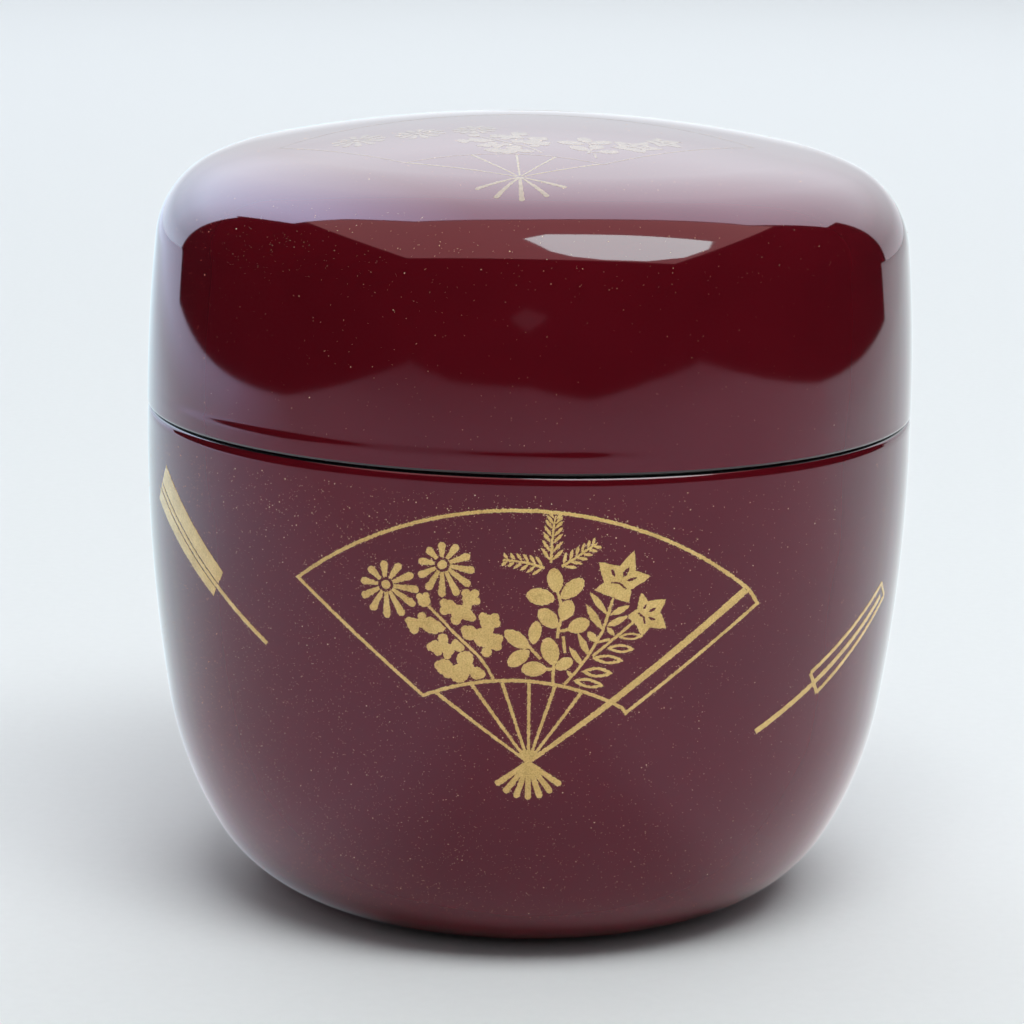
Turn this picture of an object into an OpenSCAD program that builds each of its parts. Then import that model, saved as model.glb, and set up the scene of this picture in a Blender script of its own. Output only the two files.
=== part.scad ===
// Medium natsume: a turned, lacquered tea caddy with a lift-off lid and gold sprinkled pictures.
// The origin is the middle of the standing face, +Z is up and the picture side faces -Y.
// Every wall is a chain of arcs that run into each other, and each coat is the strip between
// the same chain at two insets, so wood, lacquer and gold share their faces exactly.

/* [Overall size] */
// Outside radius at the widest level
outer_radius = 33; // [32:0.5:35]
// Level of the seam where the lid's edge meets the body's rim
seam_z = 42.6; // [42:0.2:45]
// Level of the body's widest ring
belly_z = 40; // [39:0.5:41]

/* [Body profile] */
// Radius of the nearly upright wall's long curve, seen from the side
wall_curve = 145; // [130:5:180]
// Level where the wall turns into the haunch
haunch_z = 17.6; // [16.5:0.1:18.5]
// Radius of the haunch curve
haunch_curve = 33; // [31:0.5:34]
// Radius of the toe curve that runs down to the standing ring
toe_curve = 12.6; // [12.4:0.1:13]
// Radius of the short curve that eases the wall in below the rim's rounding
rim_curve = 2.6; // [1.4:0.2:3]

/* [Lid profile] */
// Height of the lid's wall above the seam, up to the shoulder
lid_wall_rise = 14.5; // [12:0.1:16]
// Radius of the shoulder curve
shoulder_curve = 8; // [7:0.1:9]
// Slope of the surface where the shoulder turns into the crown, in degrees
shoulder_turn = 65; // [60:1:68]
// Radius of the crown curve
crown_curve = 18; // [15:0.5:20]
// Slope of the surface where the crown turns into the shallow dome, in degrees
crown_turn = 78; // [76:0.5:80]

/* [Walls and fit] */
// Thickness of each lacquer coat
coat = 0.3; // [0.2:0.05:0.35]
// Radius of the cavity and of the lip's inner face
cavity_radius = 29.1; // [28.5:0.1:29.3]
// Radius of the lip's outer face
lip_radius = 30.75; // [30.6:0.05:30.8]
// Height of the upright lip above the seam
lip_height = 6.5; // [5:0.5:7.2]
// Gap between the lip and the lid's mouth, on each side
fit_gap = 0.15; // [0.1:0.05:0.3]
// Thickness of the lid's top and shoulder
lid_thickness = 2.6; // [2.4:0.1:3]
// Rounding of the body's rim and of the lid's edge at the seam
edge_round = 0.4; // [0.35:0.05:0.6]

/* [Standing ring] */
// Inner radius of the standing ring
ring_radius = 15.4; // [14:0.2:16]
// Depth of the shallow recess inside the ring
recess_depth = 0.6; // [0.3:0.1:1]

/* [Gold] */
// Height of the gold above the lacquer
gold_relief = 0.06; // [0.04:0.01:0.1]
// Width of the thin drawn lines
line_w = 0.4; // [0.35:0.05:0.5]
// Azimuth of the folded fans, to each side of the front
side_fan_azimuth = 55; // [50:1:60]

/* [Hidden] */
$fn = 96;

// Colours
wood_colour = [0.72, 0.55, 0.36];
red_colour = [0.32, 0.05, 0.07];
black_colour = [0.05, 0.045, 0.05];
gold_colour = [0.78, 0.65, 0.38];

// ---- Outline helpers: points are [radius, level] -------------------------------------------

function polar(radius, angle) = radius * [cos(angle), sin(angle)];
function arc(centre, radius, from, to, steps) =
    [for (i = [0 : steps]) centre + polar(radius, from + (to - from) * i / steps)];
function reversed(points) = [for (i = [len(points) - 1 : -1 : 0]) points[i]];
function without_first(points) = [for (i = [1 : len(points) - 1]) points[i]];
function strip(outer, inner) = concat(outer, reversed(inner));

// ---- Body profile ---------------------------------------------------------------------------

wall_centre = [outer_radius - wall_curve, belly_z];
rim_lean = 12;                  // slope where the easing curve ends and the rim's rounding starts
rim_split = 40;                 // slope on the rounding where red lacquer meets black
rim_ease_z = seam_z - edge_round - (rim_curve - edge_round) * sin(rim_lean);
rim_turn = asin((rim_ease_z - belly_z) / (wall_curve - rim_curve));
ease_centre = wall_centre + polar(wall_curve - rim_curve, rim_turn);
rim_centre = ease_centre + polar(rim_curve - edge_round, rim_lean);
haunch_turn = -asin((belly_z - haunch_z) / wall_curve);
haunch_centre = wall_centre + polar(wall_curve - haunch_curve, haunch_turn);
toe_turn = -30;
toe_centre = haunch_centre + polar(haunch_curve - toe_curve, toe_turn);
base_turn = -68;
body_wall = outer_radius - cavity_radius;
lip_top = seam_z + lip_height;
lip_round = 0.5;
recess_slope = 0.9;

// From the rim's rounding down the wall to where the base coat starts
function body_outside(inset) = concat(
    arc(rim_centre, edge_round - inset, rim_split, rim_lean, 2),
    without_first(arc(ease_centre, rim_curve - inset, rim_lean, rim_turn, 2)),
    without_first(arc(wall_centre, wall_curve - inset, rim_turn, haunch_turn, 6)),
    without_first(arc(haunch_centre, haunch_curve - inset, haunch_turn, toe_turn, 5)),
    without_first(arc(toe_centre, toe_curve - inset, toe_turn, base_turn, 6))
);

// The underside from there to the axis: toe, standing ring and recess
function standing_turn(inset) = -asin((toe_centre[1] - inset) / (toe_curve - inset));
function body_underside(inset) = concat(
    arc(toe_centre, toe_curve - inset, base_turn, standing_turn(inset), 3),
    [
        [ring_radius, inset],
        [ring_radius - recess_slope, recess_depth + inset],
        [0, recess_depth + inset]
    ]
);

// The top of the rim's rounding, the ledge, the lip and the cavity, down to the axis
function body_inside(inset) = concat(
    arc(rim_centre, edge_round - inset, rim_split, 90, 3),
    [[lip_radius - inset, seam_z - inset]],
    arc([lip_radius - lip_round, lip_top - lip_round], lip_round - inset, 0, 90, 3),
    arc([cavity_radius + lip_round, lip_top - lip_round], lip_round - inset, 90, 180, 3),
    arc(wall_centre, wall_curve - body_wall + inset, 0, haunch_turn, 5),
    without_first(arc(haunch_centre, haunch_curve - body_wall + inset, haunch_turn, toe_turn, 5)),
    without_first(arc(toe_centre, toe_curve - body_wall + inset, toe_turn, -90, 7)),
    [[0, toe_centre[1] - toe_curve + body_wall - inset]]
);

// ---- Lid profile ----------------------------------------------------------------------------

lid_wall_centre = [outer_radius - wall_curve, seam_z];
edge_turn = asin(edge_round / (wall_curve - edge_round));
edge_centre = lid_wall_centre + polar(wall_curve - edge_round, edge_turn);
lid_split = -12;                // slope on the edge's rounding where red lacquer meets black
wall_turn = asin(lid_wall_rise / wall_curve);
shoulder_centre = lid_wall_centre + polar(wall_curve - shoulder_curve, wall_turn);
crown_centre = shoulder_centre - polar(crown_curve - shoulder_curve, shoulder_turn);
dome_curve = (crown_centre + polar(crown_curve, crown_turn))[0] / cos(crown_turn);
dome_centre = crown_centre + polar(crown_curve - dome_curve, crown_turn);
mouth_radius = lip_radius + fit_gap;
mouth_top = lip_top + 0.8;

// The outside from the lower edge's rounding up to the axis
function lid_outside(inset) = concat(
    arc(edge_centre, edge_round - inset, lid_split, edge_turn, 2),
    without_first(arc(lid_wall_centre, wall_curve - inset, edge_turn, wall_turn, 4)),
    without_first(arc(shoulder_centre, shoulder_curve - inset, wall_turn, shoulder_turn, 7)),
    lid_top(inset)
);
function lid_top(inset) = concat(
    without_first(arc(crown_centre, crown_curve - inset, shoulder_turn, crown_turn, 3)),
    without_first(arc(dome_centre, dome_curve - inset, crown_turn, 90, 6))
);

// The underside of the rounding, the lower face, the mouth, the step above the lip and the
// hollow, up to the axis
function step_turn(inset) =
    asin((mouth_top + inset - seam_z) / (wall_curve - lid_thickness + inset));
function lid_inside(inset) = concat(
    arc(edge_centre, edge_round - inset, lid_split, -90, 4),
    [
        [mouth_radius + inset, seam_z + inset],
        [mouth_radius + inset, mouth_top + inset]
    ],
    arc(lid_wall_centre, wall_curve - lid_thickness + inset, step_turn(inset), wall_turn, 2),
    without_first(
        arc(shoulder_centre, shoulder_curve - lid_thickness + inset, wall_turn, shoulder_turn, 6)
    ),
    lid_top(lid_thickness - inset)
);

// ---- Wood and lacquer -----------------------------------------------------------------------

module body_core() {
    color(wood_colour)
        rotate_extrude()
            polygon(concat(reversed(body_inside(coat)), body_outside(coat), body_underside(coat)));
}

module body_outer_lacquer() {
    color(red_colour)
        rotate_extrude()
            polygon(strip(body_outside(0), body_outside(coat)));
}

module body_inner_lacquer() {
    color(black_colour)
        rotate_extrude()
            polygon(strip(body_inside(0), body_inside(coat)));
}

module base_lacquer() {
    color(red_colour)
        rotate_extrude()
            polygon(strip(body_underside(0), body_underside(coat)));
}

module lid_core() {
    color(wood_colour)
        rotate_extrude()
            polygon(concat(lid_outside(coat), reversed(lid_inside(coat))));
}

module lid_outer_lacquer() {
    color(red_colour)
        rotate_extrude()
            polygon(strip(lid_outside(0), lid_outside(coat)));
}

module lid_inner_lacquer() {
    color(black_colour)
        rotate_extrude()
            polygon(strip(lid_inside(0), lid_inside(coat)));
}

// ---- Gold: flat drawings, laid on the lacquer as a thin relief ------------------------------

// Lays a drawing, seen square on, on the body's wall at an azimuth from the front
module gold_on_body(azimuth = 0) {
    color(gold_colour)
        intersection() {
            rotate_extrude()
                polygon(strip(body_outside(-gold_relief), body_outside(0)));
            rotate([90, 0, azimuth])
                linear_extrude(height = outer_radius + 1)
                    children();
        }
}

// Lays a drawing, seen from above, on the lid's top
module gold_on_lid() {
    color(gold_colour)
        intersection() {
            rotate_extrude()
                polygon(strip(lid_top(-gold_relief), lid_top(0)));
            translate([0, 0, seam_z])
                linear_extrude(height = outer_radius)
                    children();
        }
}

// A straight stroke between two points, with a width at each end
module stroke(from, to, from_w, to_w) {
    along = (to - from) / norm(to - from);
    across = [-along[1], along[0]] / 2;
    polygon([
        from + across * from_w, to + across * to_w,
        to - across * to_w, from - across * from_w
    ]);
}

// A smooth band along a chain of points, with its width at each point
function heading(points, i) =
    let (step = points[min(i + 1, len(points) - 1)] - points[max(i - 1, 0)]) step / norm(step);
function band_side(points, widths, side) =
    [for (i = [0 : len(points) - 1])
        let (h = heading(points, i)) points[i] + side * widths[i] / 2 * [-h[1], h[0]]];
module band(points, widths) {
    polygon(concat(band_side(points, widths, 1), reversed(band_side(points, widths, -1))));
}
module stem(points, width) {
    band(points, [for (p = points) width]);
}

// Half the width of a leaf at each part of its length; lean moves the widest place to the tip
function leaf_side(length, width, lean, steps) =
    [for (i = [0 : steps]) let (s = i / steps)
        [s * length, width / 2 * pow(abs(sin(180 * pow(s, lean))), 0.7)]];
function leaf_points(length, width, lean, steps) =
    let (side = leaf_side(length, width, lean, steps))
        concat(side, [for (i = [steps - 1 : -1 : 1]) [side[i][0], -side[i][1]]]);

// A leaf or petal from its base in a direction
module leaf(base, direction, length, width, lean = 1, steps = 4) {
    translate(base)
        rotate(direction)
            polygon(leaf_points(length, width, lean, steps));
}

// ---- The open fan: all places are measured from its pivot -----------------------------------

front_pivot = [0.5, 19.2];
lid_pivot = [-1.1, -23.8];

// Each leaf is four corners, and the centre and radius of its outer and its inner edge
front_leaf = [
    [[-18.6, 13.8], [-8.4, 5.3], [7.6, 4.1], [18.3, 12.5]], [-0.8, -5.55], 26.3, [-1.2, -9.6], 16.5
];
lid_leaf = [
    [[-20.2, 15.6], [-9.2, 4.7], [6.6, 4.1], [19.4, 17.4]], [0.4, -2], 27.1, [-1.9, -11.5], 17.8
];
front_sticks = [for (i = [0 : 6]) 38 + 17.5 * i];       // slopes of the sticks
lid_sticks = [for (i = [0 : 4]) 33 + 30 * i];
guard_stations = [[17, 13.45], [6.4, 5], [0.4, 0.35]];
guard_widths = [0.7, 0.6, 0.35];
hub_radius = 0.6;
tail_length = 3.2;

// The wedge that holds the arcs between the leaf's two straight edges
module leaf_wedge(corners, reach) {
    polygon([
        corners[1] + [0, -reach], corners[1], corners[0], corners[0] + [0, reach],
        corners[3] + [0, reach], corners[3], corners[2], corners[2] + [0, -reach]
    ]);
}

module arc_line(centre, radius, width) {
    translate(centre)
        difference() {
            circle(r = radius + width / 2);
            circle(r = radius - width / 2);
        }
}

module fan_outline(fan) {
    corners = fan[0];
    intersection() {
        arc_line(fan[1], fan[2], line_w);
        leaf_wedge(corners, 12);
    }
    intersection() {
        arc_line(fan[3], fan[4], line_w);
        leaf_wedge(corners, 3);
    }
    stroke(corners[0], corners[1], line_w, line_w);
    stroke(corners[3], corners[2], line_w, line_w);
}

module fan_ribs(fan, sticks) {
    intersection() {
        for (slope = sticks)
            stroke(polar(hub_radius, slope), polar(12, slope), 0.3, 0.36);
        translate(fan[3])
            circle(r = fan[4] - line_w / 2);
    }
}

module fan_guard() {
    band(guard_stations, guard_widths);
}

module fan_tails(sticks) {
    for (slope = sticks)
        stroke(-polar(0.1, slope), -polar(tail_length, slope), 0.26, 0.55);
}

// ---- Plants ---------------------------------------------------------------------------------

petal_count = 11;
petal_start = 0.65;             // where a petal begins, measured from the eye's centre

// A flower head seen a little from one side: its petals' tips lie on a ring whose centre is
// shifted from the eye
module chrysanthemum(eye, shift, ring) {
    for (i = [0 : petal_count - 1]) {
        reach = shift + polar(ring, i * 360 / petal_count);
        slope = atan2(reach[1], reach[0]);
        leaf(eye + polar(petal_start, slope), slope, norm(reach) - petal_start, 0.72, 1.5, 4);
    }
    translate(eye)
        circle(r = 0.38, $fn = 8);
}

// A branch with pairs of small leaflets
module frond(base, direction, length, pairs) {
    translate(base)
        rotate(direction) {
            stroke([0, 0], [length, 0], 0.24, 0.14);
            for (i = [1 : pairs], side = [-1, 1])
                leaf([length * i / (pairs + 0.6), 0], side * 52, 0.95 - 0.07 * i, 0.34, 1, 2);
        }
}

// An outlined narrow leaf
module hollow_leaf(base, direction, length, width) {
    translate(base)
        rotate(direction)
            difference() {
                polygon(leaf_points(length, width, 1, 4));
                translate([0.3, 0])
                    polygon(leaf_points(length - 0.6, width - 0.4, 1, 4));
            }
}

// Lobes of the lobed leaves: place and radius; they stay clear of the stem that they flank
chrysanthemum_stem = [[-8.1, 12.7], [-6.05, 10.65], [-4.05, 8.8], [-2.95, 7.2]];
chrysanthemum_lobes = [
    [[-8.5, 13.2], 0.55], [[-6.5, 12.75], 0.62], [[-5.7, 12.4], 0.55], [[-4.8, 13.5], 0.65],
    [[-5, 12.2], 0.5], [[-9.3, 11.1], 0.55], [[-8.6, 11.6], 0.4], [[-8, 11.15], 0.62],
    [[-7.3, 11.1], 0.45], [[-7.5, 9.4], 0.55], [[-6.9, 9.9], 0.5], [[-6.4, 9.3], 0.5],
    [[-6.7, 7.75], 0.7], [[-5.15, 8.5], 0.65], [[-5.6, 7.4], 0.7], [[-4.3, 7.45], 0.5],
    [[-4.5, 10.75], 0.6], [[-3.35, 11.6], 0.75], [[-3, 10.1], 0.7], [[-3.75, 10.6], 0.75]
];
clover_tall_stem = [[2, 14.2], [2.4, 12.4], [2.1, 10.6], [2.7, 9.3]];
clover_tall_leaves = [
    [[2, 14.2], 100, 2, 1.25], [[2.3, 13.75], 41, 2.3, 1.25], [[1.9, 13.65], 170, 2.25, 1.4],
    [[2.4, 11.95], 68, 1.75, 1.25], [[2.1, 11.35], 134, 2.05, 1.3], [[2.4, 11.1], 20, 2.3, 1.2]
];
clover_low_stem = [[-0.3, 9.9], [0.8, 8.75], [1.75, 8.2], [1.8, 6.9]];
clover_low_leaves = [
    [[-0.1, 9.65], 146, 2.45, 1.3], [[0.05, 9.7], 88, 2.1, 1.15], [[-0.1, 9.45], 218, 2.1, 1.2],
    [[1.75, 8.25], 105, 2.35, 1.4], [[1.6, 7.9], 180, 2.3, 1.25], [[1.8, 7.95], 32, 1.65, 1.1]
];

// A flower's outline: tips and the valleys between them by turns
bell_upper = [
    [7.95, 17.5], [8.15, 15.85], [9.3, 15.3], [7.8, 14.3], [7.7, 13.3],
    [6.4, 13.6], [4.9, 14.4], [5.7, 15], [5.2, 16.7], [6.8, 16.3]
];
bell_lower = [
    [8.6, 14.05], [9.25, 13.35], [10.6, 13.4], [10.2, 12.4], [10.65, 11],
    [9.3, 11.15], [8.7, 10.5], [8.3, 11.35], [7.55, 12.15], [8.3, 12.7]
];
bell_stem = [[2.7, 6.8], [3.7, 7.8], [4.55, 8.9], [5.1, 10.05], [5.6, 10.95], [6, 12.2], [6.35, 13.5]];
bell_branch = [[4.7, 8.9], [5.9, 9.8], [6.75, 10.6], [8, 11.6]];
bell_leaves = [
    [[6, 12.3], 127, 2.4, 0.55], [[5.6, 11.1], 122, 2.5, 0.62], [[4.6, 9], 116, 2, 0.55],
    [[4.1, 8.2], 125, 1.85, 0.5], [[6.1, 12.3], 25, 1.75, 0.55], [[5.8, 11.4], 25, 1.95, 0.58]
];
bell_hollow_leaves = [
    [[6.1, 9.6], -5, 2.2, 0.8], [[4.9, 8.8], -7, 2.5, 0.8], [[4, 7.75], -5, 2.5, 0.85],
    [[3.4, 6.95], -12, 2.5, 0.8]
];

module clover_sprig(stem_points, leaves) {
    stem(stem_points, 0.24);
    for (entry = leaves)
        leaf(entry[0], entry[1], entry[2], entry[3], 1.08, 5);
}

module bell_foliage() {
    stem(bell_stem, 0.22);
    stem(bell_branch, 0.2);
    for (entry = bell_leaves)
        leaf(entry[0], entry[1], entry[2], entry[3]);
    for (entry = bell_hollow_leaves)
        hollow_leaf(entry[0], entry[1], entry[2], entry[3]);
}

module chrysanthemum_foliage() {
    difference() {
        for (lobe = chrysanthemum_lobes)
            translate(lobe[0])
                circle(r = lobe[1], $fn = 8);
        stem(chrysanthemum_stem, 0.5);
    }
    stem(chrysanthemum_stem, 0.22);
}

// ---- Front picture --------------------------------------------------------------------------

module on_front() {
    gold_on_body()
        translate(front_pivot)
            children();
}

module front_fan_outline() {
    on_front()
        difference() {
            fan_outline(front_leaf);
            fan_guard();
        }
}

module front_fan_ribs() {
    on_front()
        fan_ribs(front_leaf, [for (i = [1 : 6]) front_sticks[i]]);
}

module front_fan_guard() {
    on_front()
        fan_guard();
}

module front_fan_tails() {
    on_front()
        fan_tails(front_sticks);
}

module chrysanthemum_left() {
    on_front()
        chrysanthemum([-11.5, 14.15], [0.3, -0.37], 2.38);
}

module chrysanthemum_right() {
    on_front()
        chrysanthemum([-7.05, 16.15], [0.28, -0.4], 2.2);
}

module chrysanthemum_leaves() {
    on_front()
        chrysanthemum_foliage();
}

module clover_sprig_tall() {
    on_front()
        clover_sprig(clover_tall_stem, clover_tall_leaves);
}

module clover_sprig_low() {
    on_front()
        clover_sprig(clover_low_stem, clover_low_leaves);
}

module fern_spray() {
    on_front() {
        frond([1.4, 16.6], 86, 3.8, 6);
        frond([1.2, 16.5], 176, 3.4, 6);
        frond([1.6, 16.5], 28, 4.0, 6);
    }
}

module bellflower_upper() {
    on_front()
        polygon(bell_upper);
}

module bellflower_lower() {
    on_front()
        polygon(bell_lower);
}

module bellflower_leaves() {
    on_front()
        bell_foliage();
}

// ---- Folded fans on the sides: places are along the wall and up -----------------------------

module left_folded_fan() {
    gold_on_body(-side_fan_azimuth) {
        stroke([-6.9, 38.2], [3.1, 31.3], 1.9, 1.35);
        band([[-7.7, 37.1], [2.6, 30.5], [8.4, 26.8]], [0.5, 0.4, 0.4]);
        stroke([-8.3, 36.2], [2.2, 29.9], 1.2, 0.8);
    }
}

module right_folded_fan() {
    gold_on_body(side_fan_azimuth) {
        stroke([6.3, 30.1], [-4.6, 24.5], 0.4, 0.4);
        stroke([6.3, 30.1], [7.4, 28.8], 0.4, 0.4);
        stroke([7.4, 28.8], [-3.4, 22.6], 0.4, 0.4);
        stroke([-4.6, 24.5], [-3.4, 22.6], 0.4, 0.4);
        stroke([6.2, 28.9], [-10, 20.4], 0.4, 0.45);
    }
}

// ---- Lid picture ----------------------------------------------------------------------------

module on_lid() {
    gold_on_lid()
        translate(lid_pivot)
            children();
}

module lid_fan_outline() {
    on_lid()
        fan_outline(lid_leaf);
}

module lid_fan_ribs() {
    on_lid()
        fan_ribs(lid_leaf, lid_sticks);
}

module lid_fan_tails() {
    on_lid()
        fan_tails(lid_sticks);
}

module lid_chrysanthemums() {
    on_lid() {
        chrysanthemum([-13.6, 14.1], [0.2, -0.2], 2.3);
        chrysanthemum([-8.6, 14.9], [0.2, -0.2], 2.1);
        chrysanthemum([-4, 15.7], [0.1, -0.2], 1.9);
    }
}

module lid_clover_sprig() {
    on_lid()
        translate([3.4, -3.4])
            clover_sprig(clover_tall_stem, clover_tall_leaves);
}

module lid_bellflower() {
    on_lid()
        translate([2.4, -4.6]) {
            polygon(bell_upper);
            translate([0.2, 5.8])
                polygon(bell_lower);
        }
}

module lid_leaves() {
    on_lid()
        translate([4.6, -0.2])
            chrysanthemum_foliage();
}

body_core();
body_outer_lacquer();
body_inner_lacquer();
base_lacquer();
front_fan_outline();
front_fan_ribs();
front_fan_guard();
front_fan_tails();
chrysanthemum_left();
chrysanthemum_right();
chrysanthemum_leaves();
clover_sprig_tall();
clover_sprig_low();
fern_spray();
bellflower_upper();
bellflower_lower();
bellflower_leaves();
left_folded_fan();
right_folded_fan();
lid_core();
lid_outer_lacquer();
lid_inner_lacquer();
lid_fan_outline();
lid_fan_ribs();
lid_fan_tails();
lid_chrysanthemums();
lid_clover_sprig();
lid_bellflower();
lid_leaves();
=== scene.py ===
"""Looks of the lacquered tea caddy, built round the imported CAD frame.

Everything is in metres in the row frame. Drawings and profiles are written in millimetres,
because that is how the caddy is measured, and are scaled by MM when a mesh is made.
"""

import math

import bmesh
import bpy
import numpy as np
from mathutils import Matrix, Vector
from mathutils.geometry import delaunay_2d_cdt


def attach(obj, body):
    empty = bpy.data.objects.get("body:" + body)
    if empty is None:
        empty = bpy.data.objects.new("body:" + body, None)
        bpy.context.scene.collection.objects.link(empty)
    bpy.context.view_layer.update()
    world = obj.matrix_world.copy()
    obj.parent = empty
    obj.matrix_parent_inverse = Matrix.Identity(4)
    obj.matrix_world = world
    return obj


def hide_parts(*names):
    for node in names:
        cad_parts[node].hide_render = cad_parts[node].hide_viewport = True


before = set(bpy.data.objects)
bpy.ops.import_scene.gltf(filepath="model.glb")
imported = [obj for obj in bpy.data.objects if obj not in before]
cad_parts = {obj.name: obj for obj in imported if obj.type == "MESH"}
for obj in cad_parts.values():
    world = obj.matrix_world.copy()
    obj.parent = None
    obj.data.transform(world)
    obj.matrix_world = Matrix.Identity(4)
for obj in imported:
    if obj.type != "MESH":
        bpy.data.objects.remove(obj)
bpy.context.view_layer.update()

MM = 0.001


# ---- Small helpers ----

def polar(radius, degrees):
    """A point at a radius and an angle from the +X direction."""
    turn = math.radians(degrees)
    return np.array([radius * math.cos(turn), radius * math.sin(turn)])


def arc(centre, radius, start, end, steps):
    """Points along a circle, with angles in degrees."""
    return [centre + polar(radius, start + (end - start) * i / steps) for i in range(steps + 1)]


def new_object(name, mesh):
    """Links a mesh to the scene under a name."""
    piece = bpy.data.objects.new(name, mesh)
    bpy.context.scene.collection.objects.link(piece)
    return piece


def mesh_from(name, points_mm, faces):
    """A mesh from points in millimetres."""
    mesh = bpy.data.meshes.new(name)
    mesh.from_pydata((np.asarray(points_mm, float) * MM).tolist(), [], faces)
    mesh.validate()
    mesh.update()
    return mesh


# ---- Camera, at the photograph's viewing angle ----

AIM_LEVEL = 33              # level of the point looked at, on the caddy's axis
CAMERA_DISTANCE = 300
CAMERA_ELEVATION = 12.1
CAMERA_ROLL = 1.16          # the picture leans this far clockwise
CAMERA_LENS = 120.45
AIM_LEFT = 1.32             # how far left of the axis the middle of the picture lies
AIM_DOWN = 0.25


def make_camera():
    """The camera in front of the caddy and a little above it."""
    tilt = math.radians(CAMERA_ELEVATION)
    roll = math.radians(CAMERA_ROLL)
    forward = Vector((0, math.cos(tilt), -math.sin(tilt)))
    level_right = Vector((1, 0, 0))
    level_up = Vector((0, math.sin(tilt), math.cos(tilt)))
    right = level_right * math.cos(roll) + level_up * math.sin(roll)
    up = level_up * math.cos(roll) - level_right * math.sin(roll)
    target = Vector((0, 0, AIM_LEVEL))
    place = target - forward * CAMERA_DISTANCE
    back = (place - (target - right * AIM_LEFT - up * AIM_DOWN)).normalized()
    right = up.cross(back).normalized()
    up = back.cross(right)
    turn = Matrix((right, up, back)).transposed().to_4x4()
    data = bpy.data.cameras.new("camera")
    data.lens = CAMERA_LENS
    data.sensor_width = 36
    data.clip_start = 0.01
    data.clip_end = 20
    camera = new_object("camera", data)
    camera.matrix_world = Matrix.Translation(place * MM) @ turn
    bpy.context.scene.camera = camera


# ---- Node helpers for the materials ----

class Nodes:
    """A material's node tree, with short calls to add and join nodes."""

    def __init__(self, name):
        self.material = bpy.data.materials.new(name)
        self.material.use_nodes = True
        self.tree = self.material.node_tree
        self.shader = self.tree.nodes["Principled BSDF"]

    def add(self, kind, inputs=(), **values):
        """A new node; the kind is Blender's name without its first part."""
        node = self.tree.nodes.new("ShaderNode" + kind)
        for key, value in values.items():
            setattr(node, key, value)
        for key, value in dict(inputs).items():
            node.inputs[key].default_value = value
        return node

    def join(self, output, entry):
        self.tree.links.new(output, entry)

    def glow(self, colour, strength):
        """Makes the material an even glow instead, and returns the socket of its colour."""
        self.tree.nodes.remove(self.shader)
        shader = self.add("Emission", {"Color": (*colour, 1), "Strength": strength})
        self.join(shader.outputs["Emission"], self.tree.nodes["Material Output"].inputs["Surface"])
        return shader.inputs["Color"]

    def set(self, **values):
        """Sets the shader's sockets to constants."""
        for key, value in values.items():
            self.shader.inputs[key.replace("_", " ")].default_value = value

    def feed(self, **outputs):
        """Joins outputs to the shader's sockets."""
        for key, output in outputs.items():
            self.join(output, self.shader.inputs[key.replace("_", " ")])

    def place(self):
        """The point on the object, in metres, which rides with the piece."""
        return self.add("TexCoord").outputs["Object"]

    def noise(self, scale, detail, roughness=0.5):
        node = self.add("TexNoise", {"Scale": scale, "Detail": detail, "Roughness": roughness})
        self.join(self.place(), node.inputs["Vector"])
        return node.outputs["Fac"]

    def ramp(self, factor, stops):
        """A colour ramp; stops are (position, colour)."""
        node = self.add("ValToRGB")
        entries = node.color_ramp.elements
        while len(entries) < len(stops):
            entries.new(0.5)
        for entry, (position, colour) in zip(entries, stops):
            entry.position = position
            entry.color = (*colour, 1)
        self.join(factor, node.inputs["Fac"])
        return node.outputs["Color"]

    def span(self, factor, low, high):
        """Maps 0..1 to low..high."""
        node = self.add("MapRange", {"To Min": low, "To Max": high})
        self.join(factor, node.inputs["Value"])
        return node.outputs["Result"]

    def between(self, value, low, high):
        """Maps low..high to 0..1 and holds it there."""
        node = self.add("MapRange", {"From Min": low, "From Max": high})
        self.join(value, node.inputs["Value"])
        return node.outputs["Result"]

    def bump(self, height, distance, strength):
        node = self.add("Bump", {"Distance": distance, "Strength": strength})
        self.join(height, node.inputs["Height"])
        return node.outputs["Normal"]


def lacquer_material(name, deep, light, roughness, sheen, drift_scale=60):
    """Polished lacquer: a deep colour that drifts a little, under a wet gloss with faint ripples."""
    nodes = Nodes(name)
    drift = nodes.ramp(nodes.noise(drift_scale, detail=3), [(0.3, deep), (0.7, light)])
    polish = nodes.span(nodes.noise(220, detail=4, roughness=0.6), *roughness)
    ripple = nodes.bump(nodes.noise(90, detail=1), 0.00001, 0.12)
    nodes.feed(Base_Color=drift, Roughness=polish, Normal=ripple)
    nodes.set(IOR=1.58, Specular_Tint=(*sheen, 1))
    return nodes.material


def gold_material(name, dark, middle, bright, metallic):
    """Sprinkled gold powder: grains of slightly different tint, rough and only half mirror-like."""
    nodes = Nodes(name)
    grains = nodes.noise(9000, detail=2, roughness=0.7)
    patches = nodes.noise(700, detail=2)
    mix = nodes.add("Math", {1: 0.7}, operation="MULTIPLY_ADD")
    nodes.join(grains, mix.inputs[0])
    nodes.join(nodes.span(patches, 0.0, 0.3), mix.inputs[2])
    tint = nodes.ramp(mix.outputs[0], [(0.3, dark), (0.5, middle), (0.72, bright)])
    nodes.feed(Base_Color=tint, Roughness=nodes.span(grains, 0.42, 0.68),
               Normal=nodes.bump(grains, 0.00003, 0.6))
    nodes.set(Metallic=metallic, Coat_Weight=0.9, Coat_Roughness=0.12, Coat_IOR=1.5)
    return nodes.material


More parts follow.
